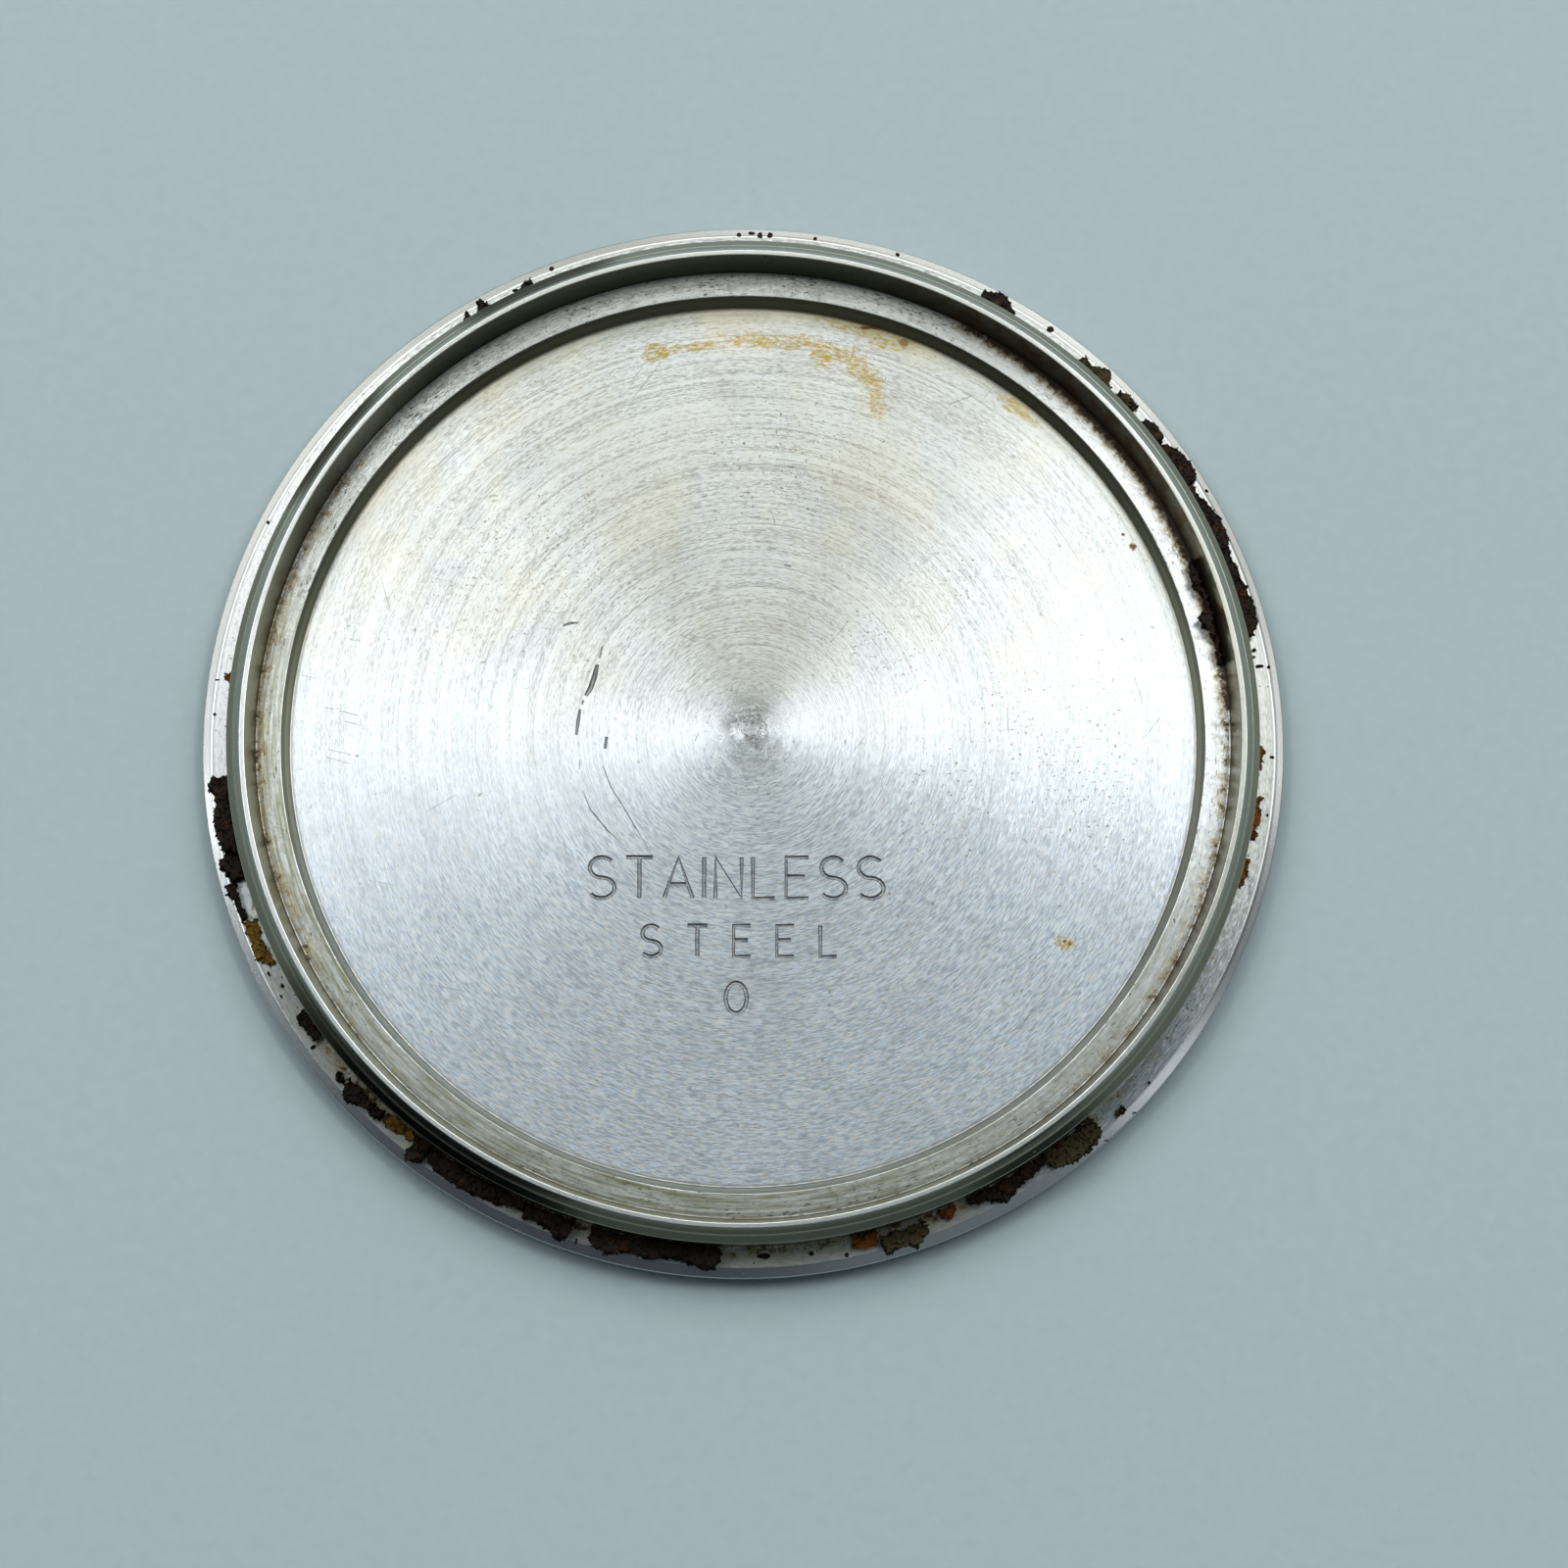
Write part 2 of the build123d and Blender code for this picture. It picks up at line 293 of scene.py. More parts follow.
class SteelColours(bpy.types.PropertyGroup):
    """Colours of the steel and of what stains it, and of the painted sheen, glints and shade on it."""
    bare: colour("Bare steel", "Bare stainless steel", "E5E8E6")
    # Painted shade deep in the tool marks, which shows most where the light runs across them
    shade: colour("Steel in the marks", "Steel deep in the tool marks", "9EA09E")
    # Painted sheen: the blue-grey tint that the near side takes on where its finest marks diffract the light
    near_side_sheen: colour("Cool tint", "Tint of the steel on the near side", "C9DFF1")
    # Painted glints where the finest marks diffract the light on the near side, in three colours
    blue_glint: colour("Blue tint", "Tint on one flank of the finest marks", "96C2EE")
    # The yellow glint also colours the yellowed oil clouds on the floor
    yellow_glint_and_oil: colour("Yellow tint", "Tint on the other flank of the finest marks", "F6E2A0")
    pink_glint: colour("Pink tint", "Tint at the bottom of the finest marks", "E6B8D6")
    # Also painted shade that dims the highlights on the crown and the edge
    dull_steel_and_shade: colour("Dull steel", "Steel torn by the slow middle of the cut", "777A78")
    # Also painted shade beside the floor's step on the far side
    film: colour("Olive film", "Thin film of dried oil", "8A8B70")
    pale: colour("Pale film", "Dried film that has turned pale", "A9A795")
    gold: colour("Golden stain", "Film left by oil and rubber", "B39A4A")
    rust: colour("Rust", "Rusty spots", "643C08")
    grime: colour("Grime", "Dust and grime on the floor", "6A5F4C")
    # Also painted shade by the foot of the wall and on the step, and a painted reflection on the lead-in cone
    soil: colour("Soil", "Dried grime in the corners", "2E2318")


class RubberColours(bpy.types.PropertyGroup):
    """Colours of the perished rubber."""
    black: colour("Black rubber", "Rubber that has kept its black", "1A140F")
    brown: colour("Brown rubber", "Rubber stained by rust", "3E2410")
    rusty: colour("Rusty rubber", "Thin rubber that has taken up rust", "73430F")
    golden: colour("Golden rubber", "Thin film of rubber", "6E5420")
    olive: colour("Olive rubber", "Rubber with an olive skin", "36321C")


class StageSettings(bpy.types.PropertyGroup):
    """Camera, table and lights."""
    lens: FloatProperty(name="Lens", description="Focal length on a 36 mm sensor, in mm", default=124.12)
    camera_place: FloatVectorProperty(name="Camera place", description="Place of the camera, in mm",
                                      default=(0.0, -39.337, 158.287))
    camera_turn: FloatVectorProperty(name="Camera turn", description="Turn of the camera", subtype="EULER",
                                     default=(radians(13.5557), radians(-0.2036), radians(-0.9643)))
    table: colour("Table", "Pale matte table", "9AABAF")
    table_size: FloatProperty(name="Table size", description="Width of the table", unit="LENGTH", default=3.0)
    side_light: FloatProperty(name="Side softboxes", description="Brightness of the side softboxes",
                              default=4.9)
    strip_light: FloatProperty(name="Strip softbox", description="Brightness of the strip on the right",
                               default=0.8)
    far_light: FloatProperty(name="Far softbox", description="Brightness of the far softbox", default=4.6)
    lit_side: FloatVectorProperty(name="Lit side", description="Direction from which the room is lit",
                                  subtype="DIRECTION", default=(0.15, 0.99, 0.0))
    room_light: FloatProperty(name="Room", description="Brightness of the room", default=0.7)


class CaseBackSettings(bpy.types.PropertyGroup):
    """All settings of this add-on."""
    sizes: PointerProperty(type=CaseBackSizes, name="Case back", description="Sizes of the steel part")
    gasket: PointerProperty(type=GasketSizes, name="Gasket", description="Sizes of the gasket's crust")
    steel: PointerProperty(type=SteelColours, name="Steel", description="Colours of the steel")
    rubber: PointerProperty(type=RubberColours, name="Rubber", description="Colours of the rubber")
    stage: PointerProperty(type=StageSettings, name="Stage", description="Camera, table and lights")


# Shaping


def deselect_all():
    """Leave nothing selected, in object mode."""
    if bpy.context.object and bpy.context.object.mode != "OBJECT":
        bpy.ops.object.mode_set(mode="OBJECT")
    bpy.ops.object.select_all(action="DESELECT")


def make_active(piece):
    """Select one piece alone and make it the one that operators work on."""
    deselect_all()
    piece.select_set(True)
    bpy.context.view_layer.objects.active = piece


def edit_all(piece):
    """Open a piece in edit mode with all of its mesh selected."""
    make_active(piece)
    bpy.ops.object.mode_set(mode="EDIT")
    bpy.ops.mesh.select_all(action="SELECT")


def name_new_piece(name):
    """Name the piece that an operator has just made, and its data."""
    piece = bpy.context.object
    piece.name = piece.data.name = name
    return piece


def apply_modifier(piece, name, kind, **values):
    """Add a modifier with its values and apply it."""
    make_active(piece)
    modifier = piece.modifiers.new(name, kind)
    for key, value in values.items():
        setattr(modifier, key, value)
    bpy.ops.object.modifier_apply(modifier=modifier.name)


def bring_to_metres(piece):
    """Scale a piece's mesh from millimetres to metres about the origin, where its object stays."""
    edit_all(piece)
    bpy.ops.transform.resize(value=(MM, MM, MM), center_override=(0, 0, 0))
    bpy.ops.object.mode_set(mode="OBJECT")


def polar(radius, bearing):
    """Point at a radius and a bearing in degrees."""
    return radius * cos(radians(bearing)), radius * sin(radians(bearing))


def turned_corners(sizes):
    """Corners of the half section: radius, height, rounding, steps, and the surface that follows."""
    cone_slope = (sizes.rim_height - sizes.bead_top) / (sizes.bead_radius - sizes.land_outer_radius)
    line, half_line = sizes.tool_line_radius, sizes.tool_line_width / 2
    line_height = sizes.bead_top + (sizes.bead_radius - line) * cone_slope
    return (
        (sizes.outer_face_radius, 0, sizes.face_rounding, 6, "edge"),
        (sizes.outer_radius, sizes.underside_height, sizes.lower_edge_rounding, 5, "edge"),
        (sizes.outer_radius, sizes.edge_height, sizes.edge_rounding, 4, "edge"),
        (sizes.outer_radius - sizes.crown_width, sizes.flange_height, sizes.crown_rounding, 8, "flange"),
        (sizes.neck_foot_radius, sizes.flange_height, sizes.corner_rounding, 4, "neck"),
        (sizes.neck_radius, sizes.neck_top, 0, 0, "neck"),
        (sizes.bead_radius, sizes.bead_bottom, 0, 0, "neck"),
        (sizes.bead_radius, sizes.bead_top, sizes.edge_rounding, 4, "rim"),
        (line + half_line, line_height - half_line * cone_slope, 0, 0, "rim"),
        (line, line_height - sizes.tool_line_depth, 0, 0, "rim"),
        (line - half_line, line_height + half_line * cone_slope, 0, 0, "rim"),
        (sizes.land_outer_radius, sizes.rim_height, sizes.edge_rounding, 4, "land"),
        (sizes.land_inner_radius, sizes.rim_height, sizes.edge_rounding, 4, "wall"),
        (sizes.wall_foot_radius, sizes.ledge_height, sizes.corner_rounding, 4, "ledge"),
        (sizes.ledge_radius, sizes.ledge_height, sizes.edge_rounding, 4, "step"),
        (sizes.floor_radius, sizes.floor_height, sizes.corner_rounding, 4, "floor"),
    )


def rounded_rings(corners, last_height, holding_width):
    """Rings of a half section, each with its radius, height and the surface that follows it.

    Every rounding has a holding ring on both sides, so that the surfaces beside it shade flat."""
    places = [Vector((0, 0))] + [Vector(corner[:2]) for corner in corners] + [Vector((0, last_height))]
    rings = []
    surface = "outer_face"
    for before, corner, after, facts in zip(places, places[1:], places[2:], corners):
        rounding, steps, next_surface = facts[2:]
        if rounding:
            back, ahead = (before - corner).normalized(), (after - corner).normalized()
            half = back.angle(ahead) / 2
            reach = rounding / tan(half)
            middle = corner + (back + ahead).normalized() * rounding / sin(half)
            start, end = corner + back * reach - middle, corner + ahead * reach - middle
            sweep = atan2(start.x * end.y - start.y * end.x, start.dot(end))
            holding = reach + min(reach, holding_width)
            rings.append((*(corner + back * holding), surface))
            for step in range(steps + 1):
                angle = atan2(start.y, start.x) + sweep * step / steps
                arc = surface if 2 * step < steps else next_surface
                rings.append((middle.x + rounding * cos(angle), middle.y + rounding * sin(angle), arc))
            rings.append((*(corner + ahead * holding), next_surface))
        else:
            rings.append((*corner, next_surface))
        surface = next_surface
    return [ring for ring, after in zip(rings, rings[1:] + [(0, 0, "")])
            if (Vector(ring[:2]) - Vector(after[:2])).length > LEAST_STEP]


def turn_on_lathe(name, rings, segments):
    """Turned piece: a circle is extruded and scaled ring by ring, and its two flat ends are filled."""
    deselect_all()
    radius, height, _ = rings[0]
    bpy.ops.mesh.primitive_circle_add(vertices=segments, radius=radius, fill_type="NOTHING",
                                      location=(0, 0, 0))
    piece = name_new_piece(name)
    edit_all(piece)
    bpy.ops.transform.translate(value=(0, 0, height))
    for (radius, height, _), (next_radius, next_height, _) in zip(rings, rings[1:]):
        bpy.ops.mesh.extrude_edges_move(TRANSFORM_OT_translate={"value": (0, 0, next_height - height)})
        share = next_radius / radius
        bpy.ops.transform.resize(value=(share, share, 1), center_override=(0, 0, 0))
    bpy.ops.mesh.select_all(action="SELECT")
    bpy.ops.mesh.fill_holes(sides=0)
    bpy.ops.mesh.select_all(action="SELECT")
    bpy.ops.mesh.normals_make_consistent(inside=False)
    bpy.ops.object.mode_set(mode="OBJECT")
    return piece


def give_surfaces(piece, rings, segments, materials):
    """Give each turned surface its material. The lathe made the faces ring by ring."""
    for surface in SURFACES:
        piece.data.materials.append(materials[surface])
    for at, polygon in enumerate(piece.data.polygons):
        ring = at // segments
        if ring < len(rings) - 1:
            surface = rings[ring][2]
        else:
            surface = "floor" if polygon.center.z > rings[0][1] + rings[-1][1] / 2 else "outer_face"
        polygon.material_index = SURFACES.index(surface)


def arc_points(middle_x, middle_y, half_width, half_height, first, last):
    """Points along an ellipse arc, in even steps."""
    steps = max(2, round(abs(last - first) / ARC_STEP))
    angles = [radians(first + (last - first) * step / steps) for step in range(steps + 1)]
    return [(middle_x + half_width * cos(angle), middle_y + half_height * sin(angle)) for angle in angles]


def stroke_points(stroke):
    """Points of a letter's stroke, whether it is given as points or as arcs."""
    if len(stroke[0]) == 2:
        return list(stroke)
    points = []
    for arc in stroke:
        points += [point for point in arc_points(*arc)
                   if not points or (Vector(point) - Vector(points[-1])).length > LEAST_STEP]
    return points


def stamped_strokes(sizes):
    """Strokes of all rows of the stamp, as points in mm on the floor."""
    strokes = []
    turn_cos, turn_sin = cos(sizes.stamp_turn), sin(sizes.stamp_turn)
    for row, letter_height, gap, (row_x, row_y) in STAMP_ROWS:
        widths = [LETTERS[letter][0] * letter_height for letter in row]
        left = -(sum(widths) + gap * (len(row) - 1)) / 2
        for letter, width in zip(row, widths):
            for stroke in LETTERS[letter][1]:
                points = [Vector((left + x * letter_height, (y - 0.5) * letter_height))
                          for x, y in stroke_points(stroke)]
                strokes.append([(row_x + point.x * turn_cos - point.y * turn_sin,
                                 row_y + point.x * turn_sin + point.y * turn_cos) for point in points])
            left += width + gap
    return strokes


def groove_tool(name, rods, sizes):
    """Cutter for grooves in the floor: round rods that lie a little over it.

    Each rod is given by the width and depth of its groove, its points, and how far its ends taper."""
    curve = bpy.data.curves.new(name, "CURVE")
    curve.dimensions = "3D"
    curve.bevel_depth = 1
    curve.bevel_resolution = 3
    curve.use_fill_caps = True
    for width, depth, points, taper in rods:
        rod_radius = (width ** 2 / 4 + depth ** 2) / (2 * depth)
        height = sizes.floor_height + rod_radius - depth
        closed = (Vector(points[0]) - Vector(points[-1])).length < LEAST_STEP
        if closed:
            points = points[:-1]
        spline = curve.splines.new("POLY")
        spline.points.add(len(points) - 1)
        spline.use_cyclic_u = closed
        for at, (point, (x, y)) in enumerate(zip(spline.points, points)):
            point.co = (x, y, height, 1)
            point.radius = rod_radius * (taper if at in (0, len(points) - 1) else 1)
    tool = bpy.data.objects.new(name, curve)
    bpy.context.scene.collection.objects.link(tool)
    make_active(tool)
    bpy.ops.object.convert(target="MESH")
    return bpy.context.object


def stamp_tool(sizes):
    """Cutter for the stamp, with the rods of its strokes fused into one skin."""
    rods = [(sizes.stamp_width, sizes.stamp_depth, points, 1) for points in stamped_strokes(sizes)]
    tool = groove_tool("stamp_cutter", rods, sizes)
    tool.data.remesh_voxel_size = sizes.stamp_grain
    bpy.ops.object.voxel_remesh()
    return tool


def scratch_tool(sizes):
    """Cutter for the deep scratches: closed rods that taper off and don't cross each other."""
    rods = [(width, depth, points, SCRATCH_TAPER) for width, depth, points in FLOOR_SCRATCHES]
    tool = groove_tool("scratch_cutter", rods, sizes)
    edit_all(tool)
    bpy.ops.mesh.remove_doubles(threshold=LEAST_STEP)
    bpy.ops.object.mode_set(mode="OBJECT")
    return tool


def nick_tool(bearing, radius, height, nick_length, nick_width):
    """Cutter for one nick in the flange's edge: a flattened ball that lies across the edge."""
    deselect_all()
    x, y = polar(radius, bearing)
    bpy.ops.mesh.primitive_ico_sphere_add(subdivisions=3, radius=1, location=(x, y, height))
    tool = name_new_piece("nick_cutter")
    edit_all(tool)
    bpy.ops.transform.resize(value=(nick_length, nick_width, nick_width), center_override=(x, y, height))
    bpy.ops.transform.rotate(value=-radians(bearing + NICK_LEAN), orient_axis="Z",
                             center_override=(x, y, height))
    bpy.ops.object.mode_set(mode="OBJECT")
    return tool


def cut_marks(piece, sizes):
    """Cut the stamp, the deep scratches and the nicks out of the steel."""
    tools = [stamp_tool(sizes), scratch_tool(sizes)] + [nick_tool(*nick) for nick in EDGE_NICKS]
    for tool in tools:
        for material in piece.data.materials:
            tool.data.materials.append(material)
        for polygon in tool.data.polygons:
            polygon.material_index = SURFACES.index("stamp")
        edit_all(tool)
        bpy.ops.mesh.normals_make_consistent(inside=False)
        bpy.ops.object.mode_set(mode="OBJECT")
        apply_modifier(piece, "marks", "BOOLEAN", object=tool, operation="DIFFERENCE", solver="MANIFOLD",
                       material_mode="INDEX")
        bpy.data.objects.remove(tool)


def copy_of_node(node, name):
    """Copy of a CAD node's mesh as a new piece in mm, with its loose triangles merged."""
    piece = bpy.data.objects.new(name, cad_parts[node].data.copy())
    bpy.context.scene.collection.objects.link(piece)
    piece.data.materials.clear()
    edit_all(piece)
    bpy.ops.transform.resize(value=(1 / MM, 1 / MM, 1 / MM), center_override=(0, 0, 0))
    bpy.ops.mesh.remove_doubles(threshold=LEAST_CAD_STEP)
    bpy.ops.object.mode_set(mode="OBJECT")
    return piece


def clouds(name, size, depth):
    """Cloud texture of a size in mm that displaces a crust."""
    texture = bpy.data.textures.get(name) or bpy.data.textures.new(name, "CLOUDS")
    texture.noise_scale = size
    texture.noise_depth = depth
    return texture


def seat_height(radius, sizes):
    """Height of the flange's seat, or of its rounded crown further out, at a radius."""
    crown_start = sizes.outer_radius - sizes.crown_width
    drop = (sizes.flange_height - sizes.edge_height) / sizes.crown_width
    return sizes.flange_height - max(0, radius - crown_start) * drop


def make_crust(node, sizes, gasket, settle):
    """Crusty piece of perished rubber in place of a smooth CAD strip, settled on the steel."""
    piece = copy_of_node(node, f"{node}_crust")
    # The foot is drawn down, so that the crust still rests on the steel once it is torn
    low = min(vertex.co.z for vertex in piece.data.vertices)
    for vertex in piece.data.vertices:
        if vertex.co.z < low + gasket.contact:
            vertex.co.z -= gasket.crust
    piece.data.remesh_voxel_size = gasket.grain
    make_active(piece)
    bpy.ops.object.voxel_remesh()
    # Tears, and nibbles in them a third as long, to and fro along two axes with a pattern each
    for axis, seed in (("X", 1), ("Y", 2)):
        tears = ("tears", gasket.tear, gasket.tear_length * (1 + 0.07 * seed))
        nibbles = ("nibbles", gasket.tear * 0.7, gasket.tear_length / (2.6 + 0.2 * seed))
        for kind, strength, size in (tears, nibbles):
            apply_modifier(piece, f"{kind}_{seed}", "DISPLACE", direction=axis, strength=strength,
                           mid_level=0.5, texture=clouds(f"{kind}_{seed}", size, 3))
    # Pits and lumps, which go further in than out
    apply_modifier(piece, "crust", "DISPLACE", strength=gasket.crust * 1.2, mid_level=0.78,
                   texture=clouds("crust", gasket.crust_length, 3))
    apply_modifier(piece, "relax", "SMOOTH", factor=0.5, iterations=1)
    for vertex in piece.data.vertices:
        vertex.co = settle(vertex.co, sizes, gasket)
    return piece


def pressed(value, least):
    """Value kept above a least one: what lies below is pressed nearly flat, so that no points meet."""
    return value if value > least else least + (value - least) * PRESSED_SHARE


def settle_on_flange(place, sizes, gasket):
    """Place of a point of crust that lies on the flange beside the neck."""
    radius = Vector(place[:2]).length
    kept = pressed(radius, sizes.neck_radius - gasket.contact)
    kept = -pressed(-kept, gasket.contact - sizes.outer_radius)
    height = pressed(place.z, seat_height(kept, sizes) - gasket.contact)
    return Vector((place.x * kept / radius, place.y * kept / radius, height))


def settle_on_ledge(place, sizes, gasket):
    """Place of a point of crust that lies on the ledge against the rim's wall."""
    radius = Vector(place[:2]).length
    lean = (sizes.land_inner_radius - sizes.wall_foot_radius) / (sizes.rim_height - sizes.ledge_height)
    wall = sizes.wall_foot_radius + max(0, place.z - sizes.ledge_height) * lean
    kept = -pressed(-radius, -wall - gasket.contact)
    height = pressed(place.z, sizes.ledge_height - gasket.contact)
    return Vector((place.x * kept / radius, place.y * kept / radius, height))


def make_crumb(at, bearing, radius, width, crumb_length, sizes, gasket):
    """Loose crumb of rubber on the flange: a ball, flattened, roughened and cut flat below."""
    deselect_all()
    bpy.ops.mesh.primitive_ico_sphere_add(subdivisions=3, radius=1, location=(0, 0, 0))
    crumb = name_new_piece(f"crumb_{at}")
    edit_all(crumb)
    bpy.ops.transform.resize(value=(width / 2, crumb_length / 2, gasket.crumb_height),
                             center_override=(0, 0, 0))
    bpy.ops.transform.rotate(value=-radians(bearing), orient_axis="Z", center_override=(0, 0, 0))
    x, y = polar(radius, bearing)
    bpy.ops.transform.translate(value=(x, y, seat_height(radius, sizes)))
    bpy.ops.object.mode_set(mode="OBJECT")
    apply_modifier(crumb, "crust", "DISPLACE", strength=gasket.crumb_height, mid_level=0.5,
                   texture=clouds("crumb", gasket.crust_length, 2))
    for vertex in crumb.data.vertices:
        vertex.co = settle_on_flange(vertex.co, sizes, gasket)
    return crumb


# Materials


def wire(tree, kind, inputs, out=0, **values):
    """Add a node of a kind with its settings, its inputs as values or links, and return an output.

    Inputs are given by their names or numbers, or as a plain row that fills them from the first."""
    node = tree.nodes.new(f"ShaderNode{kind}")
    for key, value in values.items():
        setattr(node, key, value)
    for key, value in inputs.items() if isinstance(inputs, dict) else enumerate(inputs):
        if isinstance(value, bpy.types.NodeSocket):
            tree.links.new(value, node.inputs[key])
        else:
            node.inputs[key].default_value = value
    return node.outputs[out] if node.outputs else node


def most(tree, *masks):
    """Mask of what any of several masks covers: the largest of them."""
    largest = masks[0]
    for mask in masks[1:]:
        largest = wire(tree, "Math", (largest, mask), operation="MAXIMUM")
    return largest


def layered(tree, below, layers):
    """Colour with layers laid over it in order, each given by its colour and its mask."""
    for above, mask in layers:
        below = wire(tree, "Mix", {0: mask, 6: below, 7: above}, out=2, data_type="RGBA")
    return below


def dimmed(shade, share):
    """Colour at a share of its brightness."""
    return [channel * share for channel in shade[:3]] + [1.0]


def start_material(name):
    """New material with an empty node tree."""
    material = bpy.data.materials.new(name)
    material.use_nodes = True
    material.node_tree.nodes.clear()
    return material


def lathe_places(tree, centre, inward):
    """Node tree with the places for patterns that follow the lathe, in mm.

    The section grows along the turned profile, also where the steel faces inward."""
    place = wire(tree, "TexCoord", (), out="Object")
    point = wire(tree, "VectorMath", {0: place, "Scale": 1 / MM}, operation="SCALE")
    moved = wire(tree, "VectorMath", (point, centre), operation="SUBTRACT")
    flat = wire(tree, "VectorMath", (moved, (1, 1, 0)), operation="MULTIPLY")
    radius = wire(tree, "VectorMath", (flat,), out="Value", operation="LENGTH")
    direction = wire(tree, "VectorMath", (flat,), operation="NORMALIZE")
    height = wire(tree, "SeparateXYZ", (point,), out=2)
    section = wire(tree, "Math", (radius, height), operation="ADD" if inward else "SUBTRACT")
    # In the slow middle of the cut the tool tore the steel, and its rings wander
    slow = wire(tree, "MapRange", (radius, 2.4, 0.2), **SMOOTH)
    torn = wire(tree, "TexNoise", {"Vector": point, "Scale": 2.2, "Detail": 4, "Roughness": 0.7})
    torn = wire(tree, "MapRange", (torn, 0.3, 0.7, -0.3, 0.3))
    section = wire(tree, "Math", (slow, torn, section), operation="MULTIPLY_ADD")
    return SimpleNamespace(tree=tree, point=point, flat=flat, radius=radius, direction=direction,
                           height=height, section=section)


def section_tangent(lathe, waver):
    """Direction across the tool marks, in the surface: the way in which they spread a highlight.

    It wavers from mark to mark, because no two run quite alike."""
    tree = lathe.tree
    along = wire(tree, "VectorMath", ((0, 0, 1), lathe.direction), operation="CROSS_PRODUCT")
    normal = wire(tree, "NewGeometry", (), out="Normal")
    across = wire(tree, "VectorMath", (along, normal), operation="CROSS_PRODUCT")
    turn = wire(tree, "MapRange", (waver, 0.2, 0.8, -0.45, 0.45))
    turned = wire(tree, "VectorMath", {0: along, "Scale": turn}, operation="SCALE")
    return wire(tree, "VectorMath", (across, turned), operation="ADD")


def mark_noise(lathe, pitch, mark_length, detail, out="Fac"):
    """Noise drawn out along the circles that the tool ran, with a pitch and a length in mm."""
    tree = lathe.tree
    along = wire(tree, "VectorMath", {0: lathe.flat, "Scale": 1 / mark_length}, operation="SCALE")
    across = wire(tree, "Math", (lathe.section, 1 / pitch), operation="MULTIPLY")
    lifted = wire(tree, "CombineXYZ", {2: across})
    place = wire(tree, "VectorMath", (along, lifted), operation="ADD")
    return wire(tree, "TexNoise", {"Vector": place, "Scale": 1.0, "Detail": detail, "Roughness": 0.6},
                out=out)


def specks(lathe, size, least, full, share=1.0):
    """Mask of small specks of a size in mm, at a share that may be a mask itself."""
    noise = wire(lathe.tree, "TexNoise", {"Vector": lathe.point, "Scale": 1 / size, "Detail": 2})
    return wire(lathe.tree, "MapRange", (noise, least, full, 0.0, share))


def ragged_noise(lathe, size, reach):
    """Noise from -reach to reach that tears the outline of stains, with a size in mm."""
    noise = wire(lathe.tree, "TexNoise", {"Vector": lathe.point, "Scale": 1 / size, "Detail": 6,
                                          "Roughness": 0.75})
    return wire(lathe.tree, "MapRange", (noise, 0.3, 0.7, -reach, reach))


def hairlines(lathe, turn, least):
    """Mask of fine straight scratches from handling, which all run one way, in degrees.

    They are a few thousandths of a mm wide, too fine to show, so they are drawn 0.09 mm wide."""
    tree = lathe.tree
    turned = wire(tree, "VectorRotate", {"Vector": lathe.point, "Angle": radians(turn)},
                  rotation_type="Z_AXIS")
    drawn = wire(tree, "VectorMath", (turned, (0.35, 11.0, 0.0)), operation="MULTIPLY")
    noise = wire(tree, "TexNoise", {"Vector": drawn, "Scale": 1.0, "Detail": 1})
    return wire(tree, "MapRange", (noise, least, least + 0.03, 0.0, 0.55))


def sector(lathe, first, last, soft, share=1.0):
    """Mask of the bearings from first to last, in degrees, with soft ends, at a share."""
    middle, half, soft = radians((first + last) / 2), radians((last - first) / 2), radians(soft)
    facing = wire(lathe.tree, "VectorMath", (lathe.direction, (cos(middle), sin(middle), 0)), out="Value",
                  operation="DOT_PRODUCT")
    return wire(lathe.tree, "MapRange",
                (facing, cos(half + soft), cos(max(0, half - soft)), 0.0, share), **SMOOTH)


def sectors(lathe, *rows):
    """Mask of several sectors."""
    return most(lathe.tree, *(sector(lathe, *row) for row in rows))


def patches(lathe, ragged, rows):
    """Mask of several stains, each an ellipse with ragged edges."""
    tree = lathe.tree
    stains = []
    for x, y, half_width, half_height, turn in rows:
        moved = wire(tree, "VectorMath", (lathe.point, (x, y, 0)), operation="SUBTRACT")
        turned = wire(tree, "VectorRotate", {"Vector": moved, "Angle": -radians(turn)},
                      rotation_type="Z_AXIS")
        scaled = wire(tree, "VectorMath", (turned, (1 / half_width, 1 / half_height, 0)),
                      operation="MULTIPLY")
        reach = wire(tree, "VectorMath", (scaled,), out="Value", operation="LENGTH")
        reach = wire(tree, "Math", (reach, ragged), operation="ADD")
        stains.append(wire(tree, "MapRange", (reach, 1.25, 0.75), **SMOOTH))
    return most(tree, *stains)


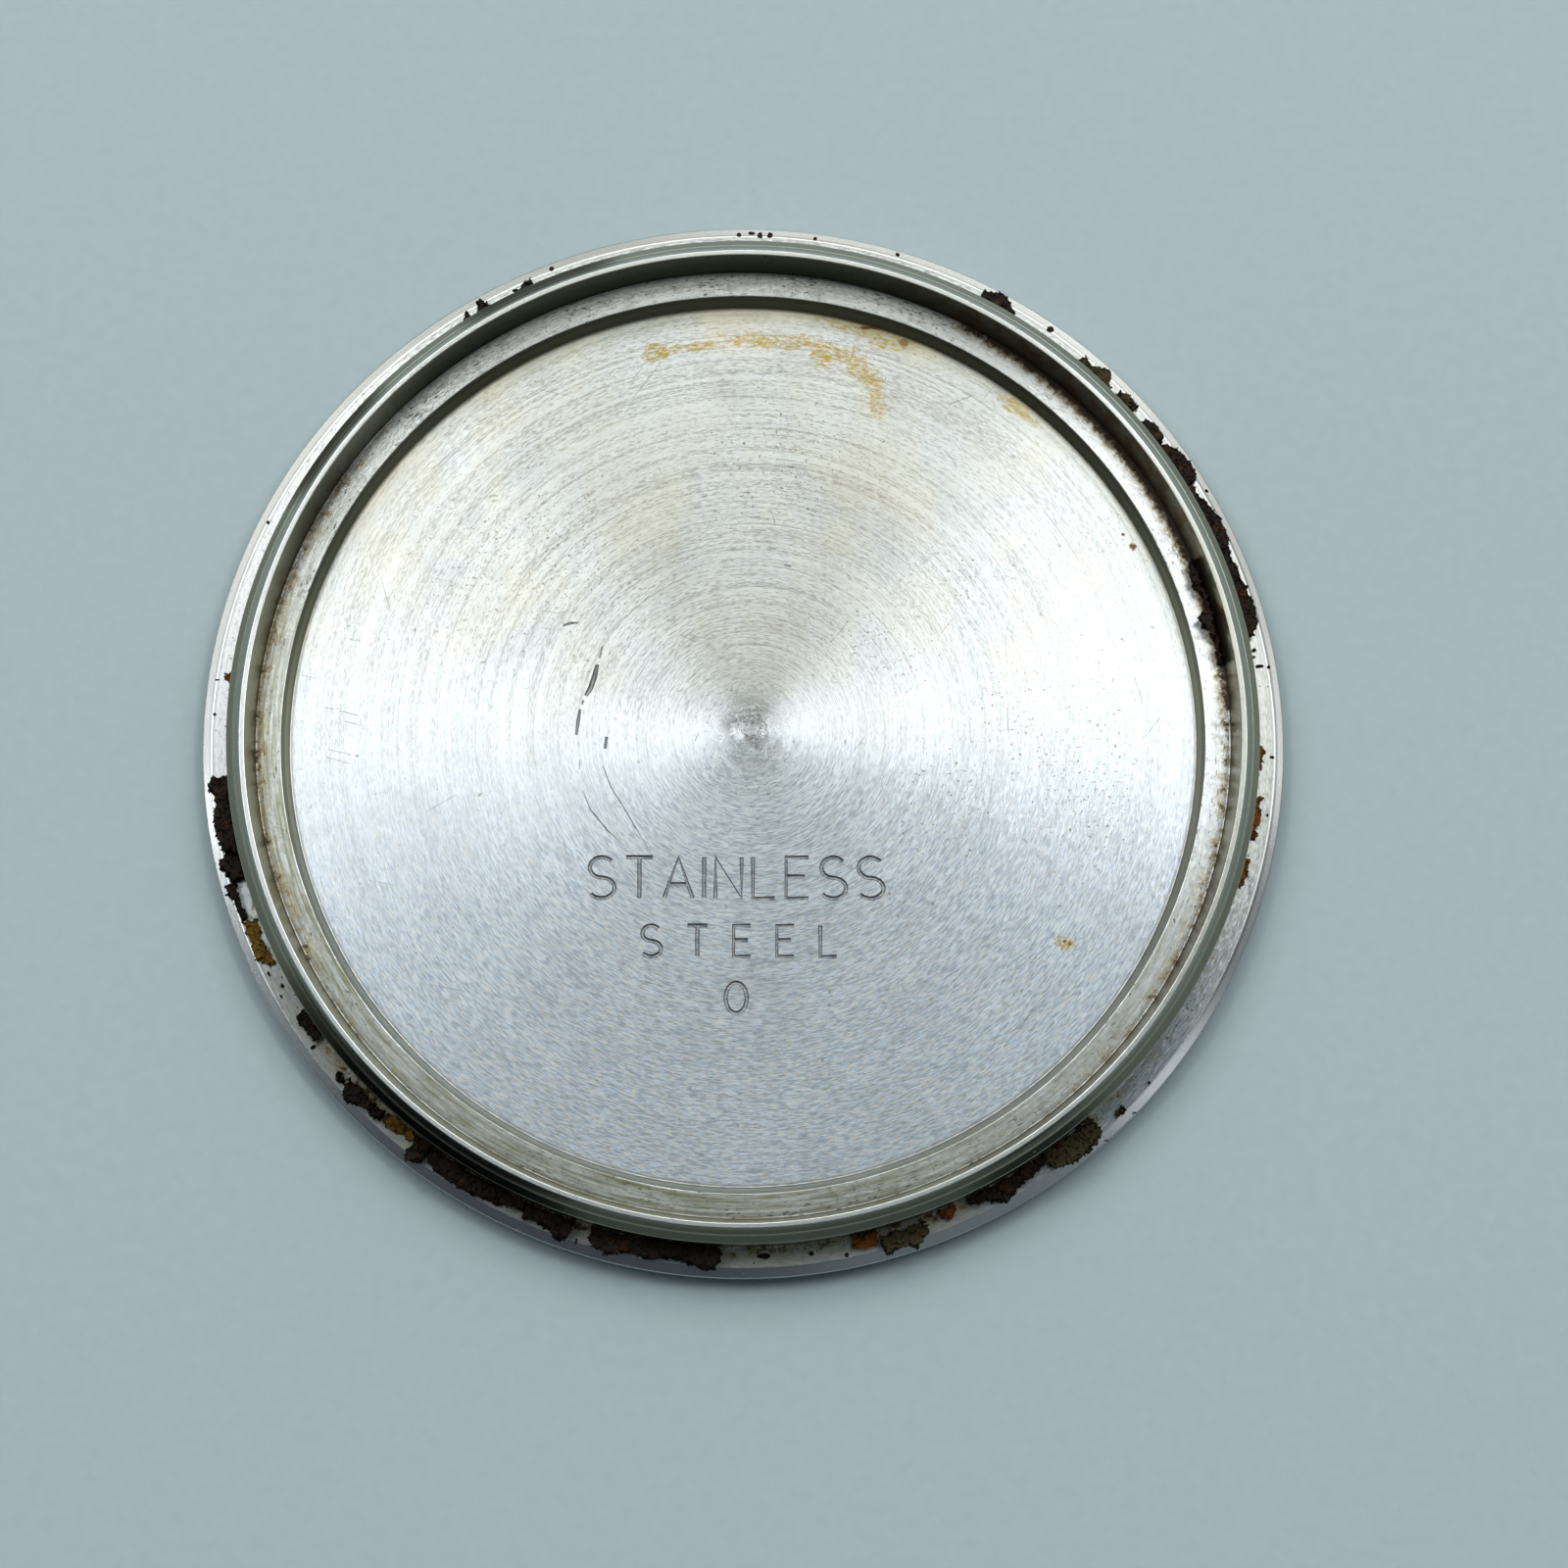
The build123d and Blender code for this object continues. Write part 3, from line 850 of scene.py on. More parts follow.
def turned_steel(name, pitch, depth, roughness, anisotropy, soiling, tone=1.0, tint=0.25, grain=1.0,
                 far_roughness=None, centre=TURNING_CENTRE, inward=False):
    """Stainless steel, turned: fine rings catch the light in a bow-tie, broken up by single marks.

    The pitch and depth of the marks are in mm, and the tint sets how strong the painted sheen and glints
    of the near side are. The soiling function gives the stains and painted shade, each with its colour and
    its mask, and a mask of what is no longer bare metal."""
    look = bpy.context.scene.case_back.steel
    material = start_material(name)
    tree = material.node_tree
    lathe = lathe_places(tree, centre, inward)
    # Rings of the feed, three marks wide, and short dashes where the tool tore the steel
    rings, dashes = mark_noise(lathe, pitch * 3, 25, 3), mark_noise(lathe, pitch, 0.20, 3)
    relief = wire(tree, "Math", (rings, 0.6, dashes), operation="MULTIPLY_ADD")
    # Painted sheen and painted glints on the near side, where the finest marks diffract the light. They are
    # a few thousandths of a mm wide, too fine to show, so they are drawn 0.034 mm wide
    y = wire(tree, "SeparateXYZ", (lathe.point,), out=1)
    near_side = wire(tree, "MapRange", (y, 4.0, -9.0, tint * 0.15, tint * 0.78))
    glinting = wire(tree, "MapRange", (y, 0.0, -10.0, tint * 0.08, tint * 0.66))
    layers = [(dimmed(look.near_side_sheen, tone), near_side)]
    sparkle = mark_noise(lathe, 0.034, 0.16, 1, out="Color")
    for channel, hue, least in ((0, look.blue_glint, 0.50), (1, look.yellow_glint_and_oil, 0.53), (2, look.pink_glint, 0.60)):
        glint = wire(tree, "SeparateColor", (sparkle,), out=channel)
        layers.append((hue, wire(tree, "MapRange", (glint, least, least + 0.10, 0.0, glinting))))
    # Painted shade in the marks, strongest where the light runs across them, and painted glints on the near
    # side as a short grain in the sheen colour, which is drawn just as wide
    facing = wire(tree, "SeparateXYZ", (lathe.direction,), out=1)
    on_far = wire(tree, "MapRange", (facing, 0.1, 0.8, 0.55 * grain, 0.88 * grain))
    off_near = wire(tree, "MapRange", (facing, 0.0, -0.6, 1.0, 0.5))
    showing = wire(tree, "Math", (on_far, off_near), operation="MULTIPLY")
    layers.append((dimmed(look.shade, tone), wire(tree, "MapRange", (relief, 0.64, 0.84, showing, 0.0))))
    showing = wire(tree, "MapRange", (facing, 0.1, -0.6, 0.0, 0.78 * grain))
    short = wire(tree, "MapRange", (mark_noise(lathe, 0.034, 0.30, 2), 0.40, 0.55, showing, 0.0))
    layers.append((dimmed(look.near_side_sheen, tone * 0.49), short))
    stains, soiled = soiling(lathe, look)
    if far_roughness:
        roughness = wire(tree, "MapRange", {0: sector(lathe, 45, 135, 35), 3: roughness, 4: far_roughness})
    shader = wire(tree, "BsdfPrincipled", {
        "Base Color": layered(tree, dimmed(look.bare, tone), layers + stains),
        "Metallic": wire(tree, "Math", (1.0, soiled), operation="SUBTRACT"),
        "Roughness": wire(tree, "MapRange", {0: soiled, 3: roughness, 4: 0.75}),
        "Anisotropic": anisotropy,
        "Tangent": section_tangent(lathe, dashes),
        "Normal": wire(tree, "Bump", {"Height": relief, "Distance": depth * MM, "Strength": 1.0}),
    })
    wire(tree, "OutputMaterial", {"Surface": shader})
    return material


def soil_floor(lathe, look):
    """Golden oil stains and rust spots of the floor, with fine grime, and the torn, dulled middle of the cut.

    Beside the step on the far side the floor is darkened with painted shade.
    """
    tree = lathe.tree
    ragged = ragged_noise(lathe, 0.5, 0.9)
    grain = wire(tree, "MapRange", (mark_noise(lathe, 0.07, 0.16, 3), 0.40, 0.60, 0.20, 1.0))
    gold = wire(tree, "Math", (patches(lathe, ragged, GOLD_STAINS), grain), operation="MULTIPLY")
    # Grime: a few spots all over, and small dots that crowd in the dusty places
    dusty = patches(lathe, ragged, DUSTY_PLACES)
    dots = wire(tree, "TexNoise", {"Vector": lathe.point, "Scale": 9.0, "Detail": 2})
    dots = wire(tree, "Math", (dusty, 0.09, dots), operation="MULTIPLY_ADD")
    dots = wire(tree, "MapRange", (dots, 0.72, 0.78, 0.0, 0.8))
    grime = most(tree, dots, specks(lathe, 0.26, 0.70, 0.80, 0.6))
    scratches = most(tree, hairlines(lathe, 12, 0.755), hairlines(lathe, 75, 0.765),
                     hairlines(lathe, 128, 0.755))
    # Painted shade beside the step on the far side, in the olive film colour, and a dark line in the grime
    # colour in the corner at its foot. The step goes round the turning axis, and the floor's marks don't
    level = wire(tree, "VectorMath", (lathe.point, (1, 1, 0)), operation="MULTIPLY")
    from_axis = wire(tree, "VectorMath", (level,), out="Value", operation="LENGTH")
    torn_edge = wire(tree, "Math", (ragged, 0.16, from_axis), operation="MULTIPLY_ADD")
    far_side = sectors(lathe, (60, 125, 25, 0.6), (10, 165, 20, 0.4))
    step_shade = wire(tree, "MapRange", (torn_edge, 12.75, 13.6, 0.0, far_side), **SMOOTH)
    corner = wire(tree, "MapRange", (from_axis, 13.49, 13.54, 0.0, 0.5))
    rust = patches(lathe, ragged_noise(lathe, 0.12, 0.6), RUST_FRECKLES)
    # Rings of the feed that show by eye, strongest where the cut slowed down
    inner = wire(tree, "MapRange", (lathe.radius, 10.5, 4.0, 0.06, 0.20))
    broad = wire(tree, "MapRange", (mark_noise(lathe, 0.20, 3.0, 5), 0.48, 0.68, 0.0, inner))
    # Thin oil that has yellowed in clouds on the far side, and faint grey clouds of wear
    y = wire(tree, "SeparateXYZ", (lathe.point,), out=1)
    far_half = wire(tree, "MapRange", (y, -2.0, 5.0, 0.0, 0.16))
    yellowed = specks(lathe, 2.6, 0.42, 0.66, far_half)
    worn = wire(tree, "TexNoise", {"Vector": lathe.point, "Scale": 0.45, "Detail": 5, "Roughness": 0.7})
    worn = wire(tree, "MapRange", (worn, 0.45, 0.70, 0.0, 0.16))
    middle = wire(tree, "MapRange", (lathe.radius, 1.7, 0.2), **SMOOTH)
    torn = wire(tree, "MapRange", (mark_noise(lathe, 0.09, 0.8, 3), 0.40, 0.62, 0.0, middle))
    stains = [(look.gold, gold), (look.grime, grime), (look.dull_steel_and_shade, scratches), (look.film, step_shade),
              (look.grime, corner), (look.rust, wire(tree, "Math", (rust, 0.95), operation="MULTIPLY")),
              (look.dull_steel_and_shade, broad), (look.yellow_glint_and_oil, yellowed), (look.dull_steel_and_shade, worn), (look.dull_steel_and_shade, torn)]
    return stains, most(tree, wire(tree, "Math", (rust, 0.25), operation="MULTIPLY"),
                        wire(tree, "Math", (dots, 0.3), operation="MULTIPLY"))


def soil_ledge(lathe, look):
    """Brown grime along the foot of the wall, and small dark pits drawn out by the tool.

    Next to the wall the ledge is darkened with painted shade.
    """
    tree = lathe.tree
    near_wall = wire(tree, "MapRange", (lathe.radius, 13.9, 14.6, 0.0, 0.05))
    crowded = wire(tree, "Math", (near_wall, specks(lathe, 1.4, 0.40, 0.62, 0.07)), operation="ADD")
    pits = wire(tree, "Math", (mark_noise(lathe, 0.06, 0.22, 2), crowded), operation="ADD")
    pits = wire(tree, "MapRange", (pits, 0.68, 0.75, 0.0, 0.8))
    film = sectors(lathe, (160, 300, 20, 0.6), (70, 175, 20, 0.16), (140, 345, 15, 0.4))
    drawn_out = wire(tree, "MapRange", (mark_noise(lathe, 0.09, 1.6, 4), 0.36, 0.64, 0.35, 1.65))
    film = wire(tree, "Math", (film, drawn_out), operation="MULTIPLY", use_clamp=True)
    mottled = wire(tree, "TexNoise", {"Vector": lathe.point, "Scale": 3.0, "Detail": 6, "Roughness": 0.8})
    mottled = wire(tree, "MapRange", (mottled, 0.48, 0.66, 0.0, 0.55))
    mottled = specks(lathe, 1.7, 0.36, 0.60, mottled)
    # The foot of the wall holds the most grime on the far right, and a little all round
    foot = wire(tree, "Math", (lathe.radius, ragged_noise(lathe, 0.25, 0.16)), operation="ADD")
    foot = wire(tree, "MapRange", (foot, 14.14, 14.52), **SMOOTH)
    thickest = sectors(lathe, (6, 58, 12, 1.3), (-50, 50, 15, 0.42), (140, 215, 15, 0.42))
    reach = wire(tree, "Math", (ragged_noise(lathe, 0.35, 0.6), thickest), operation="ADD")
    corner = wire(tree, "MapRange", (reach, 0.25, 0.75, 0.0, foot))
    soil = most(tree, pits, wire(tree, "Math", (corner, corner), operation="MULTIPLY"))
    # Painted shade on the ledge next to the wall, in the soil colour
    shaded = wire(tree, "MapRange", (lathe.radius, 14.38, 14.56, 0.0, 0.45))
    stains = [(look.film, film), (look.grime, mottled),
              (look.gold, wire(tree, "Math", (corner, 0.8), operation="MULTIPLY")),
              (look.soil, soil), (look.soil, shaded)]
    return stains, wire(tree, "Math", (soil, 0.6), operation="MULTIPLY")


def soil_wall(lathe, look):
    """Olive film on the wall, which was never wiped, with brown grime, rust and pits.

    Its foot, and its lower part on the far side, are darkened with painted shade.
    """
    tree = lathe.tree
    # Grime in sectors, and painted shade at the foot of the wall
    grime_and_shade = most(tree, sectors(lathe, (170, 370, 12, 0.5), (292, 345, 12, 0.93)),
                 wire(tree, "MapRange", (lathe.height, 1.42, 1.30, 0.0, 0.6)))
    # Painted shade, darker towards the foot of the wall on the far side
    far_side = sector(lathe, 10, 165, 15, 0.5)
    low = wire(tree, "MapRange", (lathe.height, 2.30, 1.50, 0.0, far_side), **SMOOTH)
    # Rust from the gasket has run down the wall on the far right, in clouds
    rusty = specks(lathe, 0.55, 0.44, 0.60, sector(lathe, 4, 66, 12, 0.62))
    pits = specks(lathe, 0.12, 0.64, 0.74, 0.7)
    stains = [(look.film, 0.7), (look.soil, grime_and_shade), (look.soil, low), (look.rust, rusty), (look.soil, pits)]
    return stains, wire(tree, "Math", (pits, 0.6), operation="MULTIPLY")


def soil_step(lathe, look):
    """Olive film on the step, darker in the soil colour at its top and on the near right.

    On the far side all of it is darkened with painted shade.
    """
    tree = lathe.tree
    oily = wire(tree, "MapRange", {0: sector(lathe, 200, 340, 20), 3: 0.8, 4: 0.55})
    top = wire(tree, "MapRange", (lathe.height, 1.02, 1.16, 0.0, 0.559), **SMOOTH)
    near_right = wire(tree, "MapRange", {0: sector(lathe, 295, 345, 12), 3: 0.26, 4: 0.52})
    # The darker top and near right, and painted shade over all of the far side
    grime_and_shade = most(tree, top, sector(lathe, 20, 160, 15, 0.43), near_right)
    dots, soiled = soil_lightly(lathe, look)
    return [(look.film, oily), (look.soil, grime_and_shade)] + dots, soiled


def soil_flange(lathe, look):
    """Brown residue where the gasket lay against the neck, and golden film round it."""
    tree = lathe.tree
    inner = wire(tree, "MapRange", (lathe.radius, 15.85, 15.48), **SMOOTH)
    near_side = sector(lathe, 212, 312, 10, 0.6)
    reach = wire(tree, "Math", (near_side, ragged_noise(lathe, 0.4, 0.9)), operation="ADD")
    residue = wire(tree, "MapRange", (reach, 0.1, 1.2, 0.0, inner))
    # Painted shade that dims the highlight on the crown
    crown = wire(tree, "MapRange", (lathe.radius, 15.86, 15.92, 0.0, crown_shade(lathe)))
    # Dried film that has turned pale, on the near side
    pale = sector(lathe, 205, 298, 12, 0.5)
    dots = wire(tree, "TexNoise", {"Vector": lathe.point, "Scale": 8.0, "Detail": 3})
    dots = wire(tree, "Math", (inner, 0.05, dots), operation="MULTIPLY_ADD")
    soil = most(tree, wire(tree, "MapRange", (residue, 0.40, 0.80, 0.0, 0.9)),
                wire(tree, "MapRange", (dots, 0.68, 0.73, 0.0, 0.85)))
    stains = [(look.film, sector(lathe, -20, 45, 15, 0.35)), (look.dull_steel_and_shade, crown), (look.pale, pale),
              (look.gold, wire(tree, "Math", (residue, 0.95), operation="MULTIPLY")), (look.soil, soil)]
    return stains, most(tree, pale, wire(tree, "Math", (soil, 0.7), operation="MULTIPLY"))


def crown_shade(lathe):
    """How far painted shade dims the crown's highlight: hardly on the near side, where it keeps its shine."""
    return wire(lathe.tree, "MapRange", {0: sector(lathe, 205, 338, 14), 3: 0.72, 4: 0.0576})


def soil_edge(lathe, look):
    """Painted shade that dims the crown's highlight where it meets the seat, and all of it on two sectors."""
    tree = lathe.tree
    # Painted shade: where the crown meets the seat, on two sectors, and further out on the right
    worn = wire(tree, "MapRange", (lathe.radius, 16.05, 15.98, 0.0, crown_shade(lathe)))
    highlight_shade = sectors(lathe, (98, 134, 10, 0.4), (-30, 30, 12, 0.4))
    right_edge_shade = wire(tree, "MapRange", (lathe.radius, 16.12, 16.02, 0.0, sector(lathe, -32, 32, 10, 0.88)))
    dots, soiled = soil_lightly(lathe, look)
    return [(look.dull_steel_and_shade, most(tree, worn, highlight_shade, right_edge_shade))] + dots, soiled


def soil_land(lathe, look):
    """A thin olive film on the land, thickest on the right, with a few specks of grime."""
    film = wire(lathe.tree, "MapRange", {0: sector(lathe, -35, 28, 14), 3: 0.20, 4: 0.58})
    dots, soiled = soil_lightly(lathe, look)
    return [(look.film, film)] + dots, soiled


def soil_rim(lathe, look):
    """Thin olive film on the rim, thickest on the lead-in cone, with dark smudges and grime.

    On the near left the cone also carries a painted reflection of a dark shape in the room.
    """
    cone = wire(lathe.tree, "MapRange", (lathe.radius, 15.02, 15.12, 0.0, 0.6))
    # Dark smudges on the far left, and on the near left a painted reflection of a dark shape in the room
    dark_smears_and_reflection = sectors(lathe, (105, 122, 3, 0.78), (136, 150, 3, 0.78), (210, 246, 6, 0.78))
    dark_smears_and_reflection = wire(lathe.tree, "MapRange", (lathe.radius, 15.02, 15.12, 0.0, dark_smears_and_reflection))
    dots, soiled = soil_lightly(lathe, look)
    return [(look.film, cone), (look.soil, dark_smears_and_reflection)] + dots, soiled


def soil_lightly(lathe, look):
    """A few specks of grime."""
    soil = specks(lathe, 0.12, 0.70, 0.78, 0.6)
    return [(look.soil, soil)], wire(lathe.tree, "Math", (soil, 0.5), operation="MULTIPLY")


def steel_materials():
    """Materials of the case back's surfaces, one for each way in which they were finished.

    A finishing cut feeds 0.03 to 0.10 mm a turn, and each pitch is taken from that."""
    return {
        # Polished after turning: mirrors the room softly, with the faintest rings left
        "outer_face": turned_steel("stainless_steel_polished_outer_face", 0.10, 0.0004, 0.22, 0.3,
                                   soil_lightly, grain=0.4),
        # Polished: bright and blurred, with a grey ring and two sectors of painted shade that dim its shine
        "edge": turned_steel("stainless_steel_polished_edge", 0.08, 0.0001, 0.24, 0.3, soil_edge,
                             tone=0.9, tint=0.05, grain=0.1),
        # Faced in one pass: fine rings that streak the light, under brown residue and pale film
        "flange": turned_steel("stainless_steel_turned_seat", 0.05, 0.0008, 0.28, 0.9, soil_flange),
        # Cut with a sharp grooving tool: smooth, and mirrors the flange
        "neck": turned_steel("stainless_steel_turned_neck", 0.08, 0.0004, 0.20, 0.4, soil_rim,
                             tone=0.85, grain=0.3),
        # The smoothest cut: dark or bright as the room is, under a thin film
        "rim": turned_steel("stainless_steel_turned_rim", 0.06, 0.0002, 0.18, 0.4, soil_rim,
                            tone=0.85, grain=0.2),
        # Faced in a narrow pass: a bright line all round the rim, a little yellowed
        "land": turned_steel("stainless_steel_turned_land", 0.05, 0.0006, 0.28, 0.9, soil_land,
                             tone=0.90, grain=0.3),
        # Bored: rings across the light, darkened by old film, and by painted shade for what it mirrors
        # of the inside
        "wall": turned_steel("stainless_steel_bored_wall", 0.08, 0.0010, 0.28, 0.8, soil_wall,
                             tone=0.3, grain=0.6, inward=True),
        # Faced: fine rings with grime in them, a little sharper on the far side
        "ledge": turned_steel("stainless_steel_turned_ledge", 0.05, 0.0006, 0.28, 0.92, soil_ledge,
                              grain=0.6, far_roughness=0.20),
        # Bored: a narrow olive and brown band, darkened as painted shade
        "step": turned_steel("stainless_steel_bored_step", 0.08, 0.0008, 0.28, 0.8, soil_step,
                             tone=0.6, grain=0.6, inward=True),
        # Faced with a fine feed: a bright bow-tie and fine grey marks, with painted sheen and coloured glints
        # on the near side
        "floor": turned_steel("stainless_steel_faced_floor", 0.028, 0.0007, 0.30, 0.92, soil_floor,
                              tint=0.65, centre=FACING_CENTRE),
        # Pressed with a punch, or scratched: rough steel without shine, and painted shade in the grooves
        "stamp": turned_steel("stainless_steel_stamped_groove", 0.08, 0.0006, 0.40, 0.0, soil_lightly,
                              tone=0.36, centre=FACING_CENTRE),
    }


def perished_rubber(name, body, fringe):
    """Nitrile rubber, moulded and perished: a dry crust that hardly shines, stained by rust.

    Its lumps are as large as those of the mesh, and its finest relief is two grains wide."""
    group = bpy.context.scene.case_back
    look, gasket = group.rubber, group.gasket
    material = start_material(name)
    tree = material.node_tree
    place = wire(tree, "TexCoord", (), out="Object")
    point = wire(tree, "VectorMath", {0: place, "Scale": 1 / MM}, operation="SCALE")
    lumps = wire(tree, "TexNoise", {"Vector": point, "Scale": 0.8 / gasket.crust_length, "Detail": 6,
                                    "Roughness": 0.7})
    regions = wire(tree, "TexNoise", {"Vector": point, "Scale": 1.8, "Detail": 4, "Roughness": 0.65})
    relief = wire(tree, "TexNoise", {"Vector": point, "Scale": 0.48 / gasket.grain, "Detail": 4})
    stains = [(look.brown, wire(tree, "MapRange", (regions, 0.55, 0.66, 0.0, 0.85))),
              (getattr(look, fringe), wire(tree, "MapRange", (lumps, 0.56, 0.66, 0.0, 0.8)))]
    shader = wire(tree, "BsdfPrincipled", {
        "Base Color": layered(tree, getattr(look, body), stains),
        "Roughness": wire(tree, "MapRange", (lumps, 0.3, 0.7, 0.60, 0.95)),
        "Normal": wire(tree, "Bump", {"Height": relief, "Distance": gasket.grain * MM * 0.6,
                                      "Strength": 0.8}),
        "Specular IOR Level": 0.18,
    })
    wire(tree, "OutputMaterial", {"Surface": shader})
    return material


def painted_board(shade):
    """Fibre board, painted with a roller: pale and matte, with a faint mottle 0.4 mm wide."""
    material = start_material("painted_board_matte")
    tree = material.node_tree
    place = wire(tree, "TexCoord", (), out="Object")
    mottle = wire(tree, "TexNoise", {"Vector": place, "Scale": 2500.0, "Detail": 3})
    mottled = wire(tree, "MapRange", (mottle, 0.3, 0.7, 0.97, 1.02))
    shader = wire(tree, "BsdfPrincipled", {
        "Base Color": wire(tree, "VectorMath", {0: shade[:3], "Scale": mottled}, operation="SCALE"),
        "Roughness": 0.6,
        "Normal": wire(tree, "Bump", {"Height": mottle, "Distance": 0.00002, "Strength": 0.25}),
    })
    wire(tree, "OutputMaterial", {"Surface": shader})
    return material


def finish_rubber(piece, slot, body, fringe):
    """Give a piece of crust its rubber, smooth shading, its real size and its place on the case back."""
    name = f"nitrile_rubber_perished_{body}"
    rubber = bpy.data.materials.get(name) or perished_rubber(name, body, fringe)
    piece.data.materials.clear()
    piece.data.materials.append(rubber)
    make_active(piece)
    bpy.ops.object.shade_smooth()
    bring_to_metres(piece)
    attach(piece, "root")


# Operators


class CASEBACK_OT_steel(bpy.types.Operator):
    """Turn the steel case back, cut its stamp, scratches and nicks, and give it its finishes"""
    bl_idname = "case_back.steel"
    bl_label = "Turn Case Back"

    def execute(self, context):
        sizes = context.scene.case_back.sizes
        rings = rounded_rings(turned_corners(sizes), sizes.floor_height, sizes.holding_width)
        piece = turn_on_lathe("case_back_steel", rings, sizes.segments)
        give_surfaces(piece, rings, sizes.segments, steel_materials())
        cut_marks(piece, sizes)
        make_active(piece)
        bpy.ops.object.shade_smooth_by_angle(angle=radians(SHARP_ANGLE))
        bring_to_metres(piece)
        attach(piece, "root")
        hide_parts(STEEL_NODE)
        return {"FINISHED"}


class CASEBACK_OT_remnants(bpy.types.Operator):
    """Shape the torn remnants of the gasket on the flange"""
    bl_idname = "case_back.remnants"
    bl_label = "Shape Gasket Remnants"

    def execute(self, context):
        group = context.scene.case_back
        for number, node in enumerate(REMNANT_NODES, start=1):
            piece = make_crust(node, group.sizes, group.gasket, settle_on_flange)
            finish_rubber(piece, *REMNANT_FINISHES.get(number, BLACK_RUBBER))
            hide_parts(node)
        return {"FINISHED"}


class CASEBACK_OT_lump(bpy.types.Operator):
    """Shape the lump of gasket that is stuck on the ledge"""
    bl_idname = "case_back.lump"
    bl_label = "Shape Ledge Lump"

    def execute(self, context):
        group = context.scene.case_back
        piece = make_crust(LUMP_NODE, group.sizes, group.gasket, settle_on_ledge)
        finish_rubber(piece, *BLACK_RUBBER)
        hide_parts(LUMP_NODE)
        return {"FINISHED"}


class CASEBACK_OT_crumbs(bpy.types.Operator):
    """Scatter the loose crumbs of gasket on the flange"""
    bl_idname = "case_back.crumbs"
    bl_label = "Scatter Crumbs"

    def execute(self, context):
        group = context.scene.case_back
        crumbs = [make_crumb(at, *crumb, group.sizes, group.gasket) for at, crumb in enumerate(CRUMBS)]
        deselect_all()
        for crumb in crumbs:
            crumb.select_set(True)
        context.view_layer.objects.active = crumbs[0]
        bpy.ops.object.join()
        finish_rubber(name_new_piece("gasket_crumbs"), *BLACK_RUBBER)
        return {"FINISHED"}


def softbox(name, place, width, height, brightness, tint):
    """Rectangular softbox that faces the case back, with its brightness as a radiance."""
    light = bpy.data.lights.new(name, "AREA")
    light.shape = "RECTANGLE"
    light.size, light.size_y = width, height
    light.energy = brightness * pi * width * height
    light.color = linear(tint)[:3]
    lamp = bpy.data.objects.new(name, light)
    bpy.context.scene.collection.objects.link(lamp)
    lamp.location = place
    lamp.rotation_euler = (-Vector(place)).to_track_quat("-Z", "Y").to_euler()


def light_room(stage):
    """Room's light: bright on its lit side, darker and greener low down, with the dark shapes."""
    world = bpy.data.worlds.new("room")
    bpy.context.scene.world = world
    world.use_nodes = True
    tree = world.node_tree
    tree.nodes.clear()
    direction = wire(tree, "TexCoord", (), out="Generated")
    up = wire(tree, "SeparateXYZ", (direction,), out=2)
    along = wire(tree, "VectorMath", (direction, stage.lit_side), out="Value", operation="DOT_PRODUCT")
    elsewhere = wire(tree, "MapRange", (along, -0.8, 0.1), **SMOOTH)
    lit = wire(tree, "MapRange", (along, 0.12, 0.4), **SMOOTH)
    # The room is dark higher up on the near side
    lifted = wire(tree, "Math", (elsewhere, 0.2, up), operation="MULTIPLY_ADD")
    low = wire(tree, "MapRange", (lifted, 0.65, 0.35), **SMOOTH)
    walls = layered(tree, linear(LOW_NEAR_SIDE), [(linear(LOW_ELSEWHERE), elsewhere)])
    layers = [(linear(LIT_SIDE), lit), (walls, low)]
    for bearing, elevation, half, dark in DARK_SHAPES:
        aim = (*polar(cos(radians(elevation)), bearing), sin(radians(elevation)))
        facing = wire(tree, "VectorMath", (direction, aim), out="Value", operation="DOT_PRODUCT")
        edges = (cos(radians(half + SHAPE_SOFTNESS)), cos(radians(half)))
        layers.append((linear(dark), wire(tree, "MapRange", (facing, *edges), **SMOOTH)))
    room = layered(tree, linear(DIM_SIDE), layers)
    glow = wire(tree, "Background", {"Color": room, "Strength": stage.room_light})
    wire(tree, "OutputWorld", {"Surface": glow})


